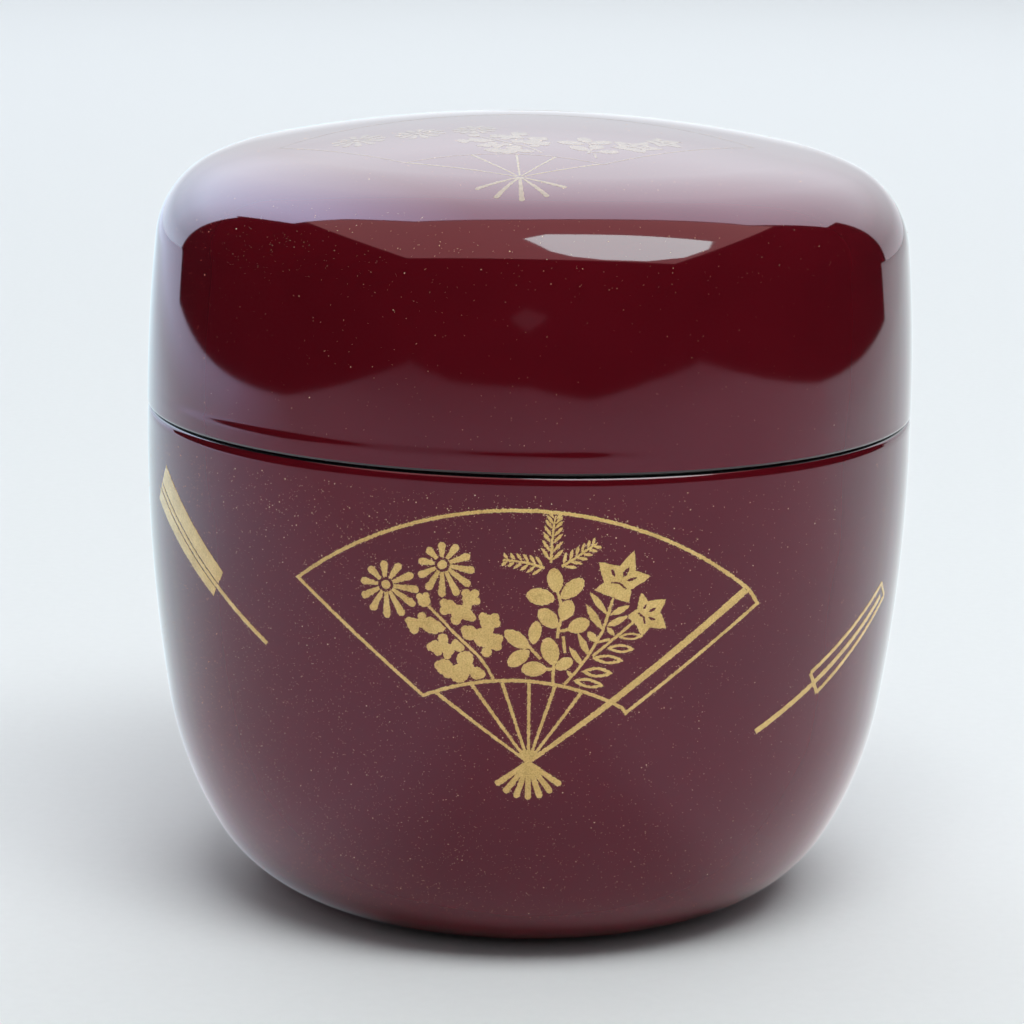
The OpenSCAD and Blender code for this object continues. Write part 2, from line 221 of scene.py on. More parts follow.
def wood_material(name):
    """Turned wood under the lacquer: growth rings cut square to the grain, with fine pores."""
    nodes = Nodes(name)
    wave = nodes.add("TexWave", {"Scale": 180, "Distortion": 5, "Detail": 3}, bands_direction="X")
    nodes.join(nodes.place(), wave.inputs["Vector"])
    rings = nodes.ramp(wave.outputs["Fac"], [(0.1, (0.42, 0.26, 0.12)), (0.9, (0.62, 0.44, 0.25))])
    pores = nodes.noise(2500, detail=3)
    nodes.feed(Base_Color=rings, Roughness=nodes.span(pores, 0.5, 0.75),
               Normal=nodes.bump(pores, 0.00005, 0.5))
    return nodes.material


RED = lacquer_material("red_lacquer", (0.078, 0.0026, 0.0057), (0.094, 0.0034, 0.0070), (0.035, 0.065),
                       (1.0, 0.73, 0.93))
BLACK = lacquer_material("black_lacquer", (0.004, 0.0036, 0.004), (0.008, 0.007, 0.008), (0.05, 0.09),
                         (1.0, 1.0, 1.0))
GOLD = gold_material("gold_powder", (0.43, 0.27, 0.07), (0.68, 0.47, 0.15), (0.88, 0.68, 0.29), 0.5)
RUBBED_GOLD = lacquer_material("rubbed_gold", (0.20, 0.155, 0.07), (0.30, 0.24, 0.12), (0.05, 0.1),
                               (1.0, 0.7, 0.8), drift_scale=2500)
FAINT_GOLD = lacquer_material("faint_gold", (0.16, 0.110, 0.055), (0.24, 0.175, 0.100), (0.05, 0.1),
                              (1.0, 0.65, 0.8), drift_scale=2500)
DUST = gold_material("gold_dust", (0.60, 0.30, 0.15), (0.75, 0.48, 0.28), (0.95, 0.76, 0.52), 0.5)
WOOD = wood_material("turned_wood")


# ---- Profiles of the turned shape: points are (radius, level) in millimetres ----
# The same chain of arcs as the CAD profile, drawn with closer points.

OUTER_RADIUS = 33
SEAM = 42.6
BELLY = 40
WALL_CURVE = 145
HAUNCH_LEVEL = 17.6
HAUNCH_CURVE = 33
TOE_CURVE = 12.6
TOE_TURN = -30
BASE_TURN = -68
LID_WALL_RISE = 14.5
SHOULDER_CURVE = 8
SHOULDER_TURN = 65
CROWN_CURVE = 18
CROWN_TURN = 78
COAT = 0.3
BODY_WALL = 3.9
LIP_RADIUS = 30.75
LIP_TOP = SEAM + 6.5
LIP_ROUND = 0.5
MOUTH_RADIUS = LIP_RADIUS + 0.15
MOUTH_TOP = LIP_TOP + 0.8
LID_THICKNESS = 2.6
EDGE_ROUND = 0.4
RIM_CURVE = 2.6
RIM_LEAN = 12
RIM_SPLIT = 40
# where the lid's black starts on its lower edge's rounding: black rim lacquer, carried this far up partly as
# painted shade of the gap under the lid
LID_SPLIT = -12
RING_RADIUS = 15.4
RECESS_DEPTH = 0.6
RECESS_SLOPE = 0.9

cavity_radius = OUTER_RADIUS - BODY_WALL
wall_centre = np.array([OUTER_RADIUS - WALL_CURVE, BELLY])
rim_ease_level = SEAM - EDGE_ROUND - (RIM_CURVE - EDGE_ROUND) * math.sin(math.radians(RIM_LEAN))
rim_turn = math.degrees(math.asin((rim_ease_level - BELLY) / (WALL_CURVE - RIM_CURVE)))
ease_centre = wall_centre + polar(WALL_CURVE - RIM_CURVE, rim_turn)
rim_centre = ease_centre + polar(RIM_CURVE - EDGE_ROUND, RIM_LEAN)
haunch_turn = -math.degrees(math.asin((BELLY - HAUNCH_LEVEL) / WALL_CURVE))
haunch_centre = wall_centre + polar(WALL_CURVE - HAUNCH_CURVE, haunch_turn)
toe_centre = haunch_centre + polar(HAUNCH_CURVE - TOE_CURVE, TOE_TURN)
lid_wall_centre = np.array([OUTER_RADIUS - WALL_CURVE, SEAM])
edge_turn = math.degrees(math.asin(EDGE_ROUND / (WALL_CURVE - EDGE_ROUND)))
edge_centre = lid_wall_centre + polar(WALL_CURVE - EDGE_ROUND, edge_turn)
wall_turn = math.degrees(math.asin(LID_WALL_RISE / WALL_CURVE))
shoulder_centre = lid_wall_centre + polar(WALL_CURVE - SHOULDER_CURVE, wall_turn)
crown_centre = shoulder_centre - polar(CROWN_CURVE - SHOULDER_CURVE, SHOULDER_TURN)
dome_curve = (crown_centre + polar(CROWN_CURVE, CROWN_TURN))[0] / math.cos(math.radians(CROWN_TURN))
dome_centre = crown_centre + polar(CROWN_CURVE - dome_curve, CROWN_TURN)


def body_outside(inset):
    """The body from its rim's rounding down to where the base coat starts."""
    return (arc(rim_centre, EDGE_ROUND - inset, RIM_SPLIT, RIM_LEAN, 6)
            + arc(ease_centre, RIM_CURVE - inset, RIM_LEAN, rim_turn, 8)[1:]
            + arc(wall_centre, WALL_CURVE - inset, rim_turn, haunch_turn, 40)[1:]
            + arc(haunch_centre, HAUNCH_CURVE - inset, haunch_turn, TOE_TURN, 26)[1:]
            + arc(toe_centre, TOE_CURVE - inset, TOE_TURN, BASE_TURN, 18)[1:])


def body_underside(inset):
    """Toe, standing ring and recess, to the axis."""
    standing = -math.degrees(math.asin((toe_centre[1] - inset) / (TOE_CURVE - inset)))
    slope_top = RECESS_DEPTH + inset
    return (arc(toe_centre, TOE_CURVE - inset, BASE_TURN, standing, 8)
            + [(RING_RADIUS, inset), (RING_RADIUS - RECESS_SLOPE, slope_top)]
            + [(r, slope_top) for r in (10, 5, 0)])


def body_inside(inset):
    """The top of the rim's rounding, the ledge, the lip and the cavity, down to the axis."""
    bore = BODY_WALL - inset
    return (arc(rim_centre, EDGE_ROUND - inset, RIM_SPLIT, 90, 8)
            + [(LIP_RADIUS - inset, SEAM - inset)]
            + arc((LIP_RADIUS - LIP_ROUND, LIP_TOP - LIP_ROUND), LIP_ROUND - inset, 0, 90, 8)
            + arc((cavity_radius + LIP_ROUND, LIP_TOP - LIP_ROUND), LIP_ROUND - inset, 90, 180, 8)
            + arc(wall_centre, WALL_CURVE - bore, 0, haunch_turn, 24)
            + arc(haunch_centre, HAUNCH_CURVE - bore, haunch_turn, TOE_TURN, 16)[1:]
            + arc(toe_centre, TOE_CURVE - bore, TOE_TURN, -90, 18)[1:]
            + [(r, toe_centre[1] - TOE_CURVE + bore) for r in (8, 4, 0)])


def lid_top(inset):
    """Crown and shallow dome, to the axis."""
    return (arc(crown_centre, CROWN_CURVE - inset, SHOULDER_TURN, CROWN_TURN, 12)[1:]
            + arc(dome_centre, dome_curve - inset, CROWN_TURN, 90, 24)[1:])


def lid_outside(inset):
    """The lid from its lower edge's rounding up to the axis."""
    return (arc(edge_centre, EDGE_ROUND - inset, LID_SPLIT, edge_turn, 4)
            + arc(lid_wall_centre, WALL_CURVE - inset, edge_turn, wall_turn, 90)[1:]
            + arc(shoulder_centre, SHOULDER_CURVE - inset, wall_turn, SHOULDER_TURN, 30)[1:]
            + lid_top(inset))


def lid_inside(inset):
    """From the underside of the rounding over the mouth, the step and the hollow, up to the axis. Its black
    on the rounding is the rim's lacquer, carried up partly as painted shade of the gap under the lid.
    """
    hollow = LID_THICKNESS - inset
    step = math.degrees(math.asin((MOUTH_TOP + inset - SEAM) / (WALL_CURVE - hollow)))
    return (arc(edge_centre, EDGE_ROUND - inset, LID_SPLIT, -90, 8)
            + [(MOUTH_RADIUS + inset, SEAM + inset), (MOUTH_RADIUS + inset, MOUTH_TOP + inset)]
            + arc(lid_wall_centre, WALL_CURVE - hollow, step, wall_turn, 8)
            + arc(shoulder_centre, SHOULDER_CURVE - hollow, wall_turn, SHOULDER_TURN, 20)[1:]
            + lid_top(hollow))


# ---- Lathed coats ----

TURNS = 288
SHARP_ANGLE = math.radians(32)


LID_SWELL = 0.036           # the lid's wall thickens by this much towards its lower edge


def lid_swell(level, degrees):
    """The uneven thickening above the lid's edge, most at the front left (azimuth below 0)."""
    fall = min(1, max(0, (SEAM + 2.2 - level) / 0.9))
    azimuth = (degrees + 90 + 180) % 360 - 180
    share = min(1, max(0, (26 - azimuth) / 20)) * min(1, max(0, (azimuth + 78) / 24))
    dip = 1 - 0.18 * math.exp(-((azimuth + 15) / 7) ** 2)
    return LID_SWELL * dip * (3 - 2 * fall) * fall ** 2 * (3 - 2 * share) * share ** 2


def no_swell(level, degrees):
    return 0


def lathe(name, loop, swell):
    """Turns a closed outline round the axis; points on the axis become single vertices."""
    points, rings = [], []
    for radius, level in loop:
        if radius < 1e-6:
            rings.append([len(points)])
            points.append((0, 0, level))
            continue
        rings.append(list(range(len(points), len(points) + TURNS)))
        for k in range(TURNS):
            degrees = 360 * k / TURNS
            x, y = polar(radius + swell(level, degrees), degrees)
            points.append((x, y, level))
    faces = []
    for i, low in enumerate(rings):
        high = rings[(i + 1) % len(rings)]
        if len(low) == 1 and len(high) == 1:
            continue
        for k in range(TURNS):
            n = (k + 1) % TURNS
            corners = [low[k % len(low)], low[n % len(low)], high[n % len(high)], high[k % len(high)]]
            faces.append(list(dict.fromkeys(corners)))
    mesh = mesh_from(name, points, faces)
    shape = bmesh.new()
    shape.from_mesh(mesh)
    bmesh.ops.recalc_face_normals(shape, faces=shape.faces)
    for face in shape.faces:
        face.smooth = True
    for edge in shape.edges:
        edge.smooth = edge.calc_face_angle(0) < SHARP_ANGLE
    shape.to_mesh(mesh)
    shape.free()
    return new_object(name, mesh)


def make_coat(name, outline, material, body, node, swell=no_swell):
    """A lacquer coat: the strip between an outline and the same outline one coat further in."""
    loop = outline(0) + outline(COAT)[::-1]
    coat = lathe(name, loop, swell)
    coat.data.materials.append(material)
    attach(coat, body)
    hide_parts(node)


def make_coats():
    make_coat("red_coat_body", body_outside, RED, "body", "body_outer_lacquer")
    make_coat("red_coat_base", body_underside, RED, "body", "base_lacquer")
    make_coat("black_coat_body", body_inside, BLACK, "body", "body_inner_lacquer")
    make_coat("red_coat_lid", lid_outside, RED, "lid", "lid_outer_lacquer", lid_swell)
    make_coat("black_coat_lid", lid_inside, BLACK, "lid", "lid_inner_lacquer")


def finish_wood():
    """The turned cores keep their CAD meshes and get the wood."""
    for node in ("body_core", "lid_core"):
        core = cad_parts[node]
        core.data.materials.clear()
        core.data.materials.append(WOOD)


# ---- Surfaces that gold lies on ----

class Surface:
    """A turned surface as finely spaced points, with a way to lay flat drawings on it."""

    def __init__(self, profile, along_level):
        points = np.array(profile)
        step = np.gradient(points, axis=0)
        normal = np.stack([-step[:, 1], step[:, 0]], axis=1)
        normal /= np.linalg.norm(normal, axis=1)[:, None]
        outward = np.sign((normal * (points - [0, AIM_LEVEL])).sum(axis=1))[:, None]
        key = points[:, 1] if along_level else points[:, 0]
        order = np.argsort(key)
        self.key = key[order]
        self.points = points[order]
        self.normal = (normal * outward)[order]

    def look_up(self, key, column):
        return np.interp(key, self.key, column)

    def at_level(self, angle, level, height):
        """Points at an angle round the axis and a level, raised off the surface."""
        radius = self.look_up(level, self.points[:, 0])
        return self.raised(radius, level, angle, self.look_up(level, self.normal[:, 0]),
                           self.look_up(level, self.normal[:, 1]), height)

    def raised(self, radius, level, angle, out, up, height):
        far = radius + out * height
        return np.stack([far * np.cos(angle), far * np.sin(angle), level + up * height], axis=1)

    def from_front(self, flat, height, azimuth=0):
        """Lays a drawing, seen square on from an azimuth, on the wall."""
        radius = self.look_up(flat[:, 1], self.points[:, 0])
        across = np.clip(flat[:, 0] / radius, -0.99, 0.99)
        angle = np.arcsin(across) - math.pi / 2 + math.radians(azimuth)
        return self.at_level(angle, flat[:, 1], height)

    def from_above(self, flat, height):
        """Lays a drawing, seen from above, on the top."""
        radius = np.hypot(flat[:, 0], flat[:, 1])
        angle = np.arctan2(flat[:, 1], flat[:, 0])
        return self.raised(radius, self.look_up(radius, self.points[:, 1]), angle,
                           self.look_up(radius, self.normal[:, 0]),
                           self.look_up(radius, self.normal[:, 1]), height)


FINE = 400
wall_surface = Surface(
    arc(wall_centre, WALL_CURVE, rim_turn, haunch_turn, FINE)
    + arc(haunch_centre, HAUNCH_CURVE, haunch_turn, TOE_TURN, FINE)[1:]
    + arc(toe_centre, TOE_CURVE, TOE_TURN, BASE_TURN, FINE)[1:], along_level=True)
lid_wall_surface = Surface(
    arc(lid_wall_centre, WALL_CURVE, edge_turn, wall_turn, FINE)
    + arc(shoulder_centre, SHOULDER_CURVE, wall_turn, SHOULDER_TURN, FINE)[1:], along_level=True)
top_surface = Surface(
    arc(shoulder_centre, SHOULDER_CURVE, 30, SHOULDER_TURN, FINE)
    + arc(crown_centre, CROWN_CURVE, SHOULDER_TURN, CROWN_TURN, FINE)[1:]
    + arc(dome_centre, dome_curve, CROWN_TURN, 90, FINE)[1:], along_level=False)


# ---- Flat shapes of the gold drawings, in millimetres ----

LINE = 0.28


def band(points, widths):
    """A stroke along a chain of points, with a width at each."""
    chain = np.array(points, float)
    step = np.gradient(chain, axis=0)
    step /= np.linalg.norm(step, axis=1)[:, None]
    across = np.stack([-step[:, 1], step[:, 0]], axis=1) * (np.array(widths)[:, None] / 2)
    return np.vstack([chain + across, (chain - across)[::-1]])


def stroke(start, end, width, end_width=None):
    return band([start, end], [width, end_width or width])


def stem(points, width):
    return band(points, [width] * len(points))


def disc(centre, radius, steps=20):
    return np.array(arc(centre, radius, 0, 360 - 360 / steps, steps - 1))


def leaf(base, direction, length, width, lean=1.0, fullness=0.75, steps=9):
    """A leaf or petal from its base. Lean above 1 moves the broadest place towards the tip, and a
    small fullness rounds the ends."""
    share = (1 - np.cos(np.linspace(0, math.pi, steps))) / 2
    side = width / 2 * np.abs(np.sin(math.pi * share ** lean)) ** fullness
    side[0] = side[-1] = 0
    outline = np.vstack([np.stack([share * length, side], axis=1),
                         np.stack([share * length, -side], axis=1)[-2:0:-1]])
    along = polar(1, direction)
    across = np.array([-along[1], along[0]])
    return np.array(base) + outline[:, :1] * along + outline[:, 1:] * across


def lens(start, end, width):
    """A pointed oval between two points."""
    span = np.array(end) - np.array(start)
    direction = math.degrees(math.atan2(span[1], span[0]))
    return leaf(start, direction, np.linalg.norm(span), width, fullness=1.0, steps=6)


def petal_star(points, bulge):
    """A closed outline whose sides bow outwards a little between its points."""
    corners = np.array(points, float)
    middle = corners.mean(axis=0)
    after = np.roll(corners, -1, axis=0)
    between = (corners + after) / 2
    out = between - middle
    between = between + out / np.linalg.norm(out, axis=1)[:, None] * bulge
    return np.stack([corners, between], axis=1).reshape(-1, 2)


# A drawing is a list of layers; a layer is (filled outlines, cut-out outlines).

FRONT_PIVOT = (0.5, 19.2)
LID_PIVOT = (-1.1, -23.8)
FRONT_LEAF = {
    "corners": [(-18.65, 13.75), (-8.45, 5.25), (7.65, 4.1), (18.05, 12.3)],
    "outer": ((-0.8, -5.55), 26.3),
    "inner": ((-1.2, -9.6), 16.5),
}
LID_LEAF = {
    "corners": [(-20.2, 15.6), (-9.2, 4.7), (6.6, 4.1), (19.4, 17.4)],
    "outer": ((0.4, -2.0), 27.1),
    "inner": ((-1.9, -11.5), 17.8),
}
FRONT_STICKS = [38 + 17.5 * i for i in range(7)]
LID_STICKS = [33 + 30 * i for i in range(5)]
FRONT_EDGES = (LINE, 0.25)      # widths of the leaf's arcs and of its straight sides
LID_EDGES = (0.14, 0.16)
FRONT_RIBS = (0.22, 0.28)       # widths of a stick at the pivot and at the leaf
LID_RIBS = (0.16, 0.2)
FRONT_TAILS = (3.0, 0.34, 0.5)  # length of a stick's short end, its width at the pivot and at its tip
LID_TAILS = (3.9, 0.2, 0.42)


def arc_between(circle, left, right):
    """Points of a circle between two places, taken from their distances across."""
    centre, radius = circle
    start, end = (math.degrees(math.acos((corner[0] - centre[0]) / radius)) for corner in (left, right))
    return arc(centre, radius, start, end, 40)[1:-1]


def fan_outline(leaf_shape, arc_width, side_width):
    """The edge of the fan's leaf as one closed line with sharp corners."""
    corners = [np.array(corner) for corner in leaf_shape["corners"]]
    upper = arc_between(leaf_shape["outer"], corners[0], corners[3])
    lower = arc_between(leaf_shape["inner"], corners[1], corners[2])
    chain = np.array([corners[0]] + upper + [corners[3], corners[2]] + lower[::-1] + [corners[1]])
    ahead = np.roll(chain, -1, axis=0) - chain
    length = np.linalg.norm(ahead, axis=1)
    across = np.stack([-ahead[:, 1], ahead[:, 0]], axis=1) / length[:, None]
    half = np.where(length > 3, side_width, arc_width)[:, None] / 2
    before = np.roll(across, 1, axis=0)
    half_before = np.roll(half, 1, axis=0)
    spread = 1 + (across * before).sum(axis=1)[:, None]
    offset = (across + before) / spread * (half + half_before) / 2
    return [([chain + offset], [chain - offset])]


def fan_ribs(leaf_shape, sticks, width, end_width):
    """The bare sticks between the leaf and the pivot."""
    centre, radius = leaf_shape["inner"]
    ribs = []
    for angle in sticks:
        along = polar(1, angle)
        toward = along @ centre
        reach = toward + math.sqrt(radius ** 2 - np.dot(centre, centre) + toward ** 2)
        ribs.append(stroke(along * 0.3, along * (reach - LINE / 2), width, end_width))
    return [(ribs, [])]


def fan_hub():
    return np.array([(-0.92, 0.66), (-0.5, 0.98), (0.05, 1.05), (0.6, 0.95), (0.85, 0.62),
                     (0.25, 0.0), (-0.25, 0.0)])


def fan_guard():
    return [([band([(17.05, 13.55), (6.4, 5.0), (0.25, 0.2)], [0.62, 0.52, 0.32]), fan_hub()], [])]


def fan_tails(sticks, length, width, end_width):
    """The short ends of the sticks below the pivot, each with a round end."""
    tails = []
    for angle in sticks:
        tip = -polar(length, angle)
        tails.append(stroke(-polar(0.05, angle), tip, width, end_width))
        tails.append(disc(tip, 0.54 * end_width, 12))
    return [(tails, [])]


PETAL_START = 0.6
PETAL_FOOT = 0.28
PETAL_END = 0.6


def petal(base, direction, length):
    """A club-shaped petal: narrow at its foot, with a round end."""
    end = np.array(base) + polar(length - PETAL_END / 2, direction)
    return [stroke(tuple(base), tuple(end), PETAL_FOOT, PETAL_END), disc(end, PETAL_END / 2, 12)]


def chrysanthemum(eye, ring_centre, ring, phase, petals=11):
    """A flower head seen a little from one side: the petals' tips lie on a ring that is off the eye."""
    eye = np.array(eye)
    shapes = [disc(eye, 0.37, 14)]
    for i in range(petals):
        tip = eye + ring_centre + polar(ring, phase + 360 * i / petals)
        reach = tip - eye
        length = np.linalg.norm(reach)
        base = eye + reach * (PETAL_START / length)
        direction = math.degrees(math.atan2(reach[1], reach[0]))
        shapes += petal(base, direction, length - PETAL_START)
    return [(shapes, [])]


CHRYSANTHEMUM_STEM = [(-8.1, 12.7), (-7.0, 11.65), (-6.05, 10.65), (-5.0, 9.7), (-4.05, 8.8),
                      (-3.45, 8.0), (-2.9, 7.0)]
CHRYSANTHEMUM_LOBES = [
    (-8.45, 13.1, 0.48), (-8.8, 13.4, 0.26), (-8.3, 13.55, 0.25),
    (-6.45, 12.75, 0.55), (-6.85, 13.05, 0.33), (-6.85, 12.4, 0.34), (-5.7, 12.35, 0.6),
    (-4.85, 13.5, 0.56), (-5.15, 13.95, 0.33), (-4.45, 13.95, 0.33), (-4.3, 13.35, 0.3),
    (-5.0, 12.2, 0.46), (-4.7, 12.0, 0.34), (-5.9, 11.7, 0.38),
    (-9.25, 11.1, 0.5), (-9.6, 11.35, 0.3), (-9.2, 10.65, 0.33), (-8.6, 11.8, 0.33),
    (-7.95, 11.15, 0.62), (-7.15, 11.1, 0.45), (-7.6, 10.75, 0.34), (-8.6, 11.3, 0.4),
    (-7.5, 9.4, 0.5), (-7.85, 9.35, 0.33), (-7.3, 9.0, 0.33), (-6.9, 10.1, 0.4),
    (-6.9, 9.5, 0.45), (-6.5, 9.2, 0.46), (-6.55, 8.75, 0.32), (-5.8, 9.65, 0.48), (-5.55, 9.45, 0.33),
    (-6.75, 7.75, 0.64), (-7.2, 7.85, 0.36), (-6.5, 7.25, 0.4), (-5.15, 8.5, 0.64), (-4.85, 8.85, 0.34),
    (-5.6, 7.3, 0.74), (-4.2, 7.4, 0.5), (-3.85, 7.35, 0.33),
    (-4.8, 10.7, 0.58), (-5.15, 10.95, 0.34), (-3.35, 11.6, 0.62), (-3.75, 12.05, 0.36),
    (-2.85, 12.05, 0.36), (-2.75, 11.6, 0.34), (-2.95, 10.1, 0.62), (-2.5, 10.35, 0.34),
    (-2.65, 9.7, 0.36), (-3.7, 10.4, 0.78), (-3.45, 9.2, 0.4), (-3.4, 11.0, 0.45),
    (-4.9, 7.75, 0.5), (-5.05, 12.9, 0.36),
]


def chrysanthemum_leaves():
    """Lobed leaves either side of a stem, which stands clear of them in a dark line."""
    lobes = [disc((x, z), radius * 1.07, 12) for x, z, radius in CHRYSANTHEMUM_LOBES]
    clear = stem(CHRYSANTHEMUM_STEM, 0.52)
    below_leaf = np.array([(-9, 4), (-9, 5.6), (-6.5, 6.05), (-5.2, 6.42), (-3, 6.62), (-1, 6.7), (-1, 4)])
    return [(lobes, [clear, below_leaf]), ([stem(CHRYSANTHEMUM_STEM, 0.23)], [])]


TALL_SPRIG_STEMS = [
    [(2.0, 14.25), (2.25, 13.5), (2.45, 12.3), (2.15, 11.3), (2.1, 10.45)],
    [(2.25, 11.05), (3.1, 11.2)], [(2.55, 10.6), (2.7, 9.25)],
]
TALL_SPRIG_LEAVES = [
    ((2.0, 14.2), 101, 2.0, 1.25), ((2.3, 13.75), 41, 2.3, 1.25), ((1.8, 13.65), 170, 2.25, 1.4),
    ((2.4, 11.95), 68, 1.75, 1.25), ((2.05, 11.35), 134, 2.05, 1.3), ((2.9, 11.15), 22, 1.8, 1.25),
]
LOW_SPRIG_STEMS = [[(-0.3, 9.9), (0.8, 8.75)], [(1.85, 8.4), (1.8, 6.7)], [(1.2, 7.9), (1.8, 7.9)]]
LOW_SPRIG_LEAVES = [
    ((-0.1, 9.65), 146, 2.4, 1.2), ((0.15, 9.95), 80, 1.95, 1.0), ((-0.1, 9.45), 218, 2.1, 1.2),
    ((1.85, 8.25), 105, 2.35, 1.4), ((1.3, 7.9), 180, 2.0, 1.25), ((2.0, 7.95), 30, 1.5, 1.0),
]


def clover_sprig(stems, leaves):
    shapes = [stem(points, 0.24) for points in stems]
    shapes += [leaf(*entry, lean=1.08, fullness=0.52, steps=14) for entry in leaves]
    return [(shapes, [])]


def frond(points, pairs, leaflet, spread):
    """A fern branch: a curved rib with slanting leaflets that get shorter towards the tip."""
    chain = np.array(points, float)
    shapes = [band(chain, np.linspace(0.22, 0.14, len(chain)))]
    along = np.linspace(0, 1, len(chain))
    for i in range(pairs):
        share = (i + 0.35) / pairs
        at = np.array([np.interp(share, along, chain[:, 0]), np.interp(share, along, chain[:, 1])])
        heading = chain[-1] - chain[0]
        turn = math.degrees(math.atan2(heading[1], heading[0]))
        for side in (-1, 1):
            length = leaflet * (1.1 - 0.5 * share)
            start = at + polar(0.1, turn + side * 90)
            shapes.append(leaf(start, turn + side * spread, length, 0.25, lean=1.15, fullness=0.6))
    return shapes


def fern_spray():
    return [(frond([(1.45, 16.6), (1.5, 18.2), (1.6, 19.5), (1.75, 20.4)], 7, 1.1, 40)
             + frond([(0.95, 16.2), (-0.1, 16.5), (-1.2, 16.7), (-2.3, 16.75)], 6, 0.86, 46)
             + frond([(2.3, 16.3), (3.3, 16.95), (4.2, 17.6), (5.0, 18.15)], 6, 0.9, 42), [])]


UPPER_BELL = [(7.95, 17.5), (8.1, 15.85), (9.3, 15.35), (7.8, 14.35), (7.65, 13.3),
              (6.4, 13.75), (4.9, 14.4), (5.65, 15.0), (5.2, 16.65), (6.8, 16.25)]
UPPER_BELL_MARKS = [
    lens((6.2, 16.1), (6.5, 15.4), 0.3), lens((7.6, 16.15), (7.1, 15.35), 0.38),
    lens((7.4, 15.05), (8.25, 15.3), 0.3), stem([(6.2, 14.95), (6.85, 14.9), (7.4, 14.4)], 0.16),
]
LOWER_BELL = [(8.6, 14.05), (9.2, 13.3), (10.6, 13.4), (10.15, 12.4), (10.65, 11.0),
              (9.35, 11.15), (8.75, 10.5), (8.3, 11.35), (7.6, 12.2), (8.3, 12.7)]
LOWER_BELL_MARKS = [
    lens((9.05, 13.1), (8.8, 12.65), 0.2), lens((9.15, 12.4), (9.85, 12.75), 0.26),
    lens((9.2, 12.0), (9.8, 11.75), 0.24), stem([(8.4, 12.4), (8.85, 12.0), (8.95, 11.45)], 0.16),
]


def bellflower(outline, marks):
    return [([petal_star(outline, 0.07)], marks)]


BELL_STEMS = [
    [(6.4, 13.7), (6.0, 12.25), (5.6, 10.95), (5.1, 10.0), (4.5, 8.95), (3.7, 7.8), (2.7, 6.6)],
    [(8.0, 11.6), (6.8, 10.6), (5.9, 9.8), (4.85, 8.95)], [(5.25, 10.1), (6.2, 10.3)],
]
BELL_LEAVES = [
    ((6.0, 12.3), 127, 2.4, 0.52), ((5.6, 11.1), 122, 2.5, 0.62), ((4.6, 9.0), 116, 2.05, 0.54),
    ((4.1, 8.2), 125, 1.85, 0.5), ((5.2, 10.1), 130, 1.15, 0.62), ((3.3, 7.2), 125, 0.7, 0.36),
    ((6.15, 12.3), 25, 1.75, 0.54), ((5.95, 11.4), 25, 1.8, 0.58), ((6.6, 10.6), 132, 0.95, 0.4),
]
BELL_HOLLOW_LEAVES = [
    ((6.9, 10.5), -1, 1.95, 0.58), ((6.0, 9.6), -5, 2.2, 0.74), ((4.85, 8.8), -7, 2.5, 0.78),
    ((4.05, 7.7), -5, 2.5, 0.88), ((3.4, 6.95), -12, 2.5, 0.8),
]


def hollow_leaf(base, direction, length, width):
    """An outlined leaf with a slit down its middle."""
    slit_base = np.array(base) + polar(length * 0.18, direction)
    outer = leaf(base, direction, length, width, fullness=0.8, steps=10)
    slit = leaf(slit_base, direction, length * 0.64, width * 0.48, fullness=1.0, steps=7)
    return [outer], [slit]


def bell_foliage():
    shapes = [stem(points, 0.22) for points in BELL_STEMS]
    shapes += [leaf(*entry, fullness=0.85) for entry in BELL_LEAVES]
    return [(shapes, [])] + [hollow_leaf(*entry) for entry in BELL_HOLLOW_LEAVES]


def left_folded_fan():
    return [([stroke((-6.88, 38.2), (3.14, 31.3), 1.95, 1.35),
              band([(-7.68, 37.07), (2.57, 30.5), (8.4, 26.8)], [0.5, 0.4, 0.42]),
              stroke((-8.26, 36.24), (2.16, 29.9), 1.2, 0.83)], [])]


def right_folded_fan():
    corners = [(6.3, 30.1), (-4.6, 24.5), (-3.4, 22.6), (7.4, 28.8)]
    sides = [stroke(corners[i], corners[(i + 1) % 4], 0.36) for i in range(4)]
    return [(sides + [stroke((6.3, 29.0), (-3.9, 23.6), 0.4, 0.46),
                      stroke((-3.9, 23.6), (-10.0, 20.4), 0.46, 0.5)], [])]


def shifted(drawing, shift):
    return [([outline + np.array(shift) for outline in fills],
             [outline + np.array(shift) for outline in cuts]) for fills, cuts in drawing]


# ---- Gold relief: powder laid in a drawing ----

EDGE_STEP = 0.09            # spacing of points along a ragged edge
GRAIN_STEP = 0.115          # spacing of grains inside
EDGE_JITTER = 0.02
RELIEF = 0.026              # height of the powder above the lacquer
RUBBED_RELIEF = 0.008       # the lid's picture is rubbed down nearly flush
SINK = 0.03                 # how deep its foot is bedded in the lacquer

stray_points = {"wall": [], "top": []}


def ragged(outline, rng):
    """The outline with close points that wander a little, as powder does at a brushed edge."""
    points = []
    for start, end in zip(outline, np.roll(outline, -1, axis=0)):
        steps = max(1, int(np.linalg.norm(end - start) / EDGE_STEP))
        share = (np.arange(steps) / steps)[:, None]
        points.append(start + (end - start) * share)
    points = np.vstack(points)
    return points + rng.normal(0, EDGE_JITTER, points.shape)


def inside(points, outline):
    """Which points lie in a closed outline."""
    found = np.zeros(len(points), bool)
    low, high = outline.min(axis=0), outline.max(axis=0)
    near = np.nonzero(((points >= low) & (points <= high)).all(axis=1))[0]
    x, y = points[near, 0][:, None], points[near, 1][:, None]
    x0, y0 = outline[:, 0], outline[:, 1]
    x1, y1 = np.roll(x0, -1), np.roll(y0, -1)
    rise = np.where(y1 == y0, 1e-12, y1 - y0)
    crossing = ((y0 > y) != (y1 > y)) & (x < (x1 - x0) * (y - y0) / rise + x0)
    found[near] = crossing.sum(axis=1) % 2 == 1
    return found


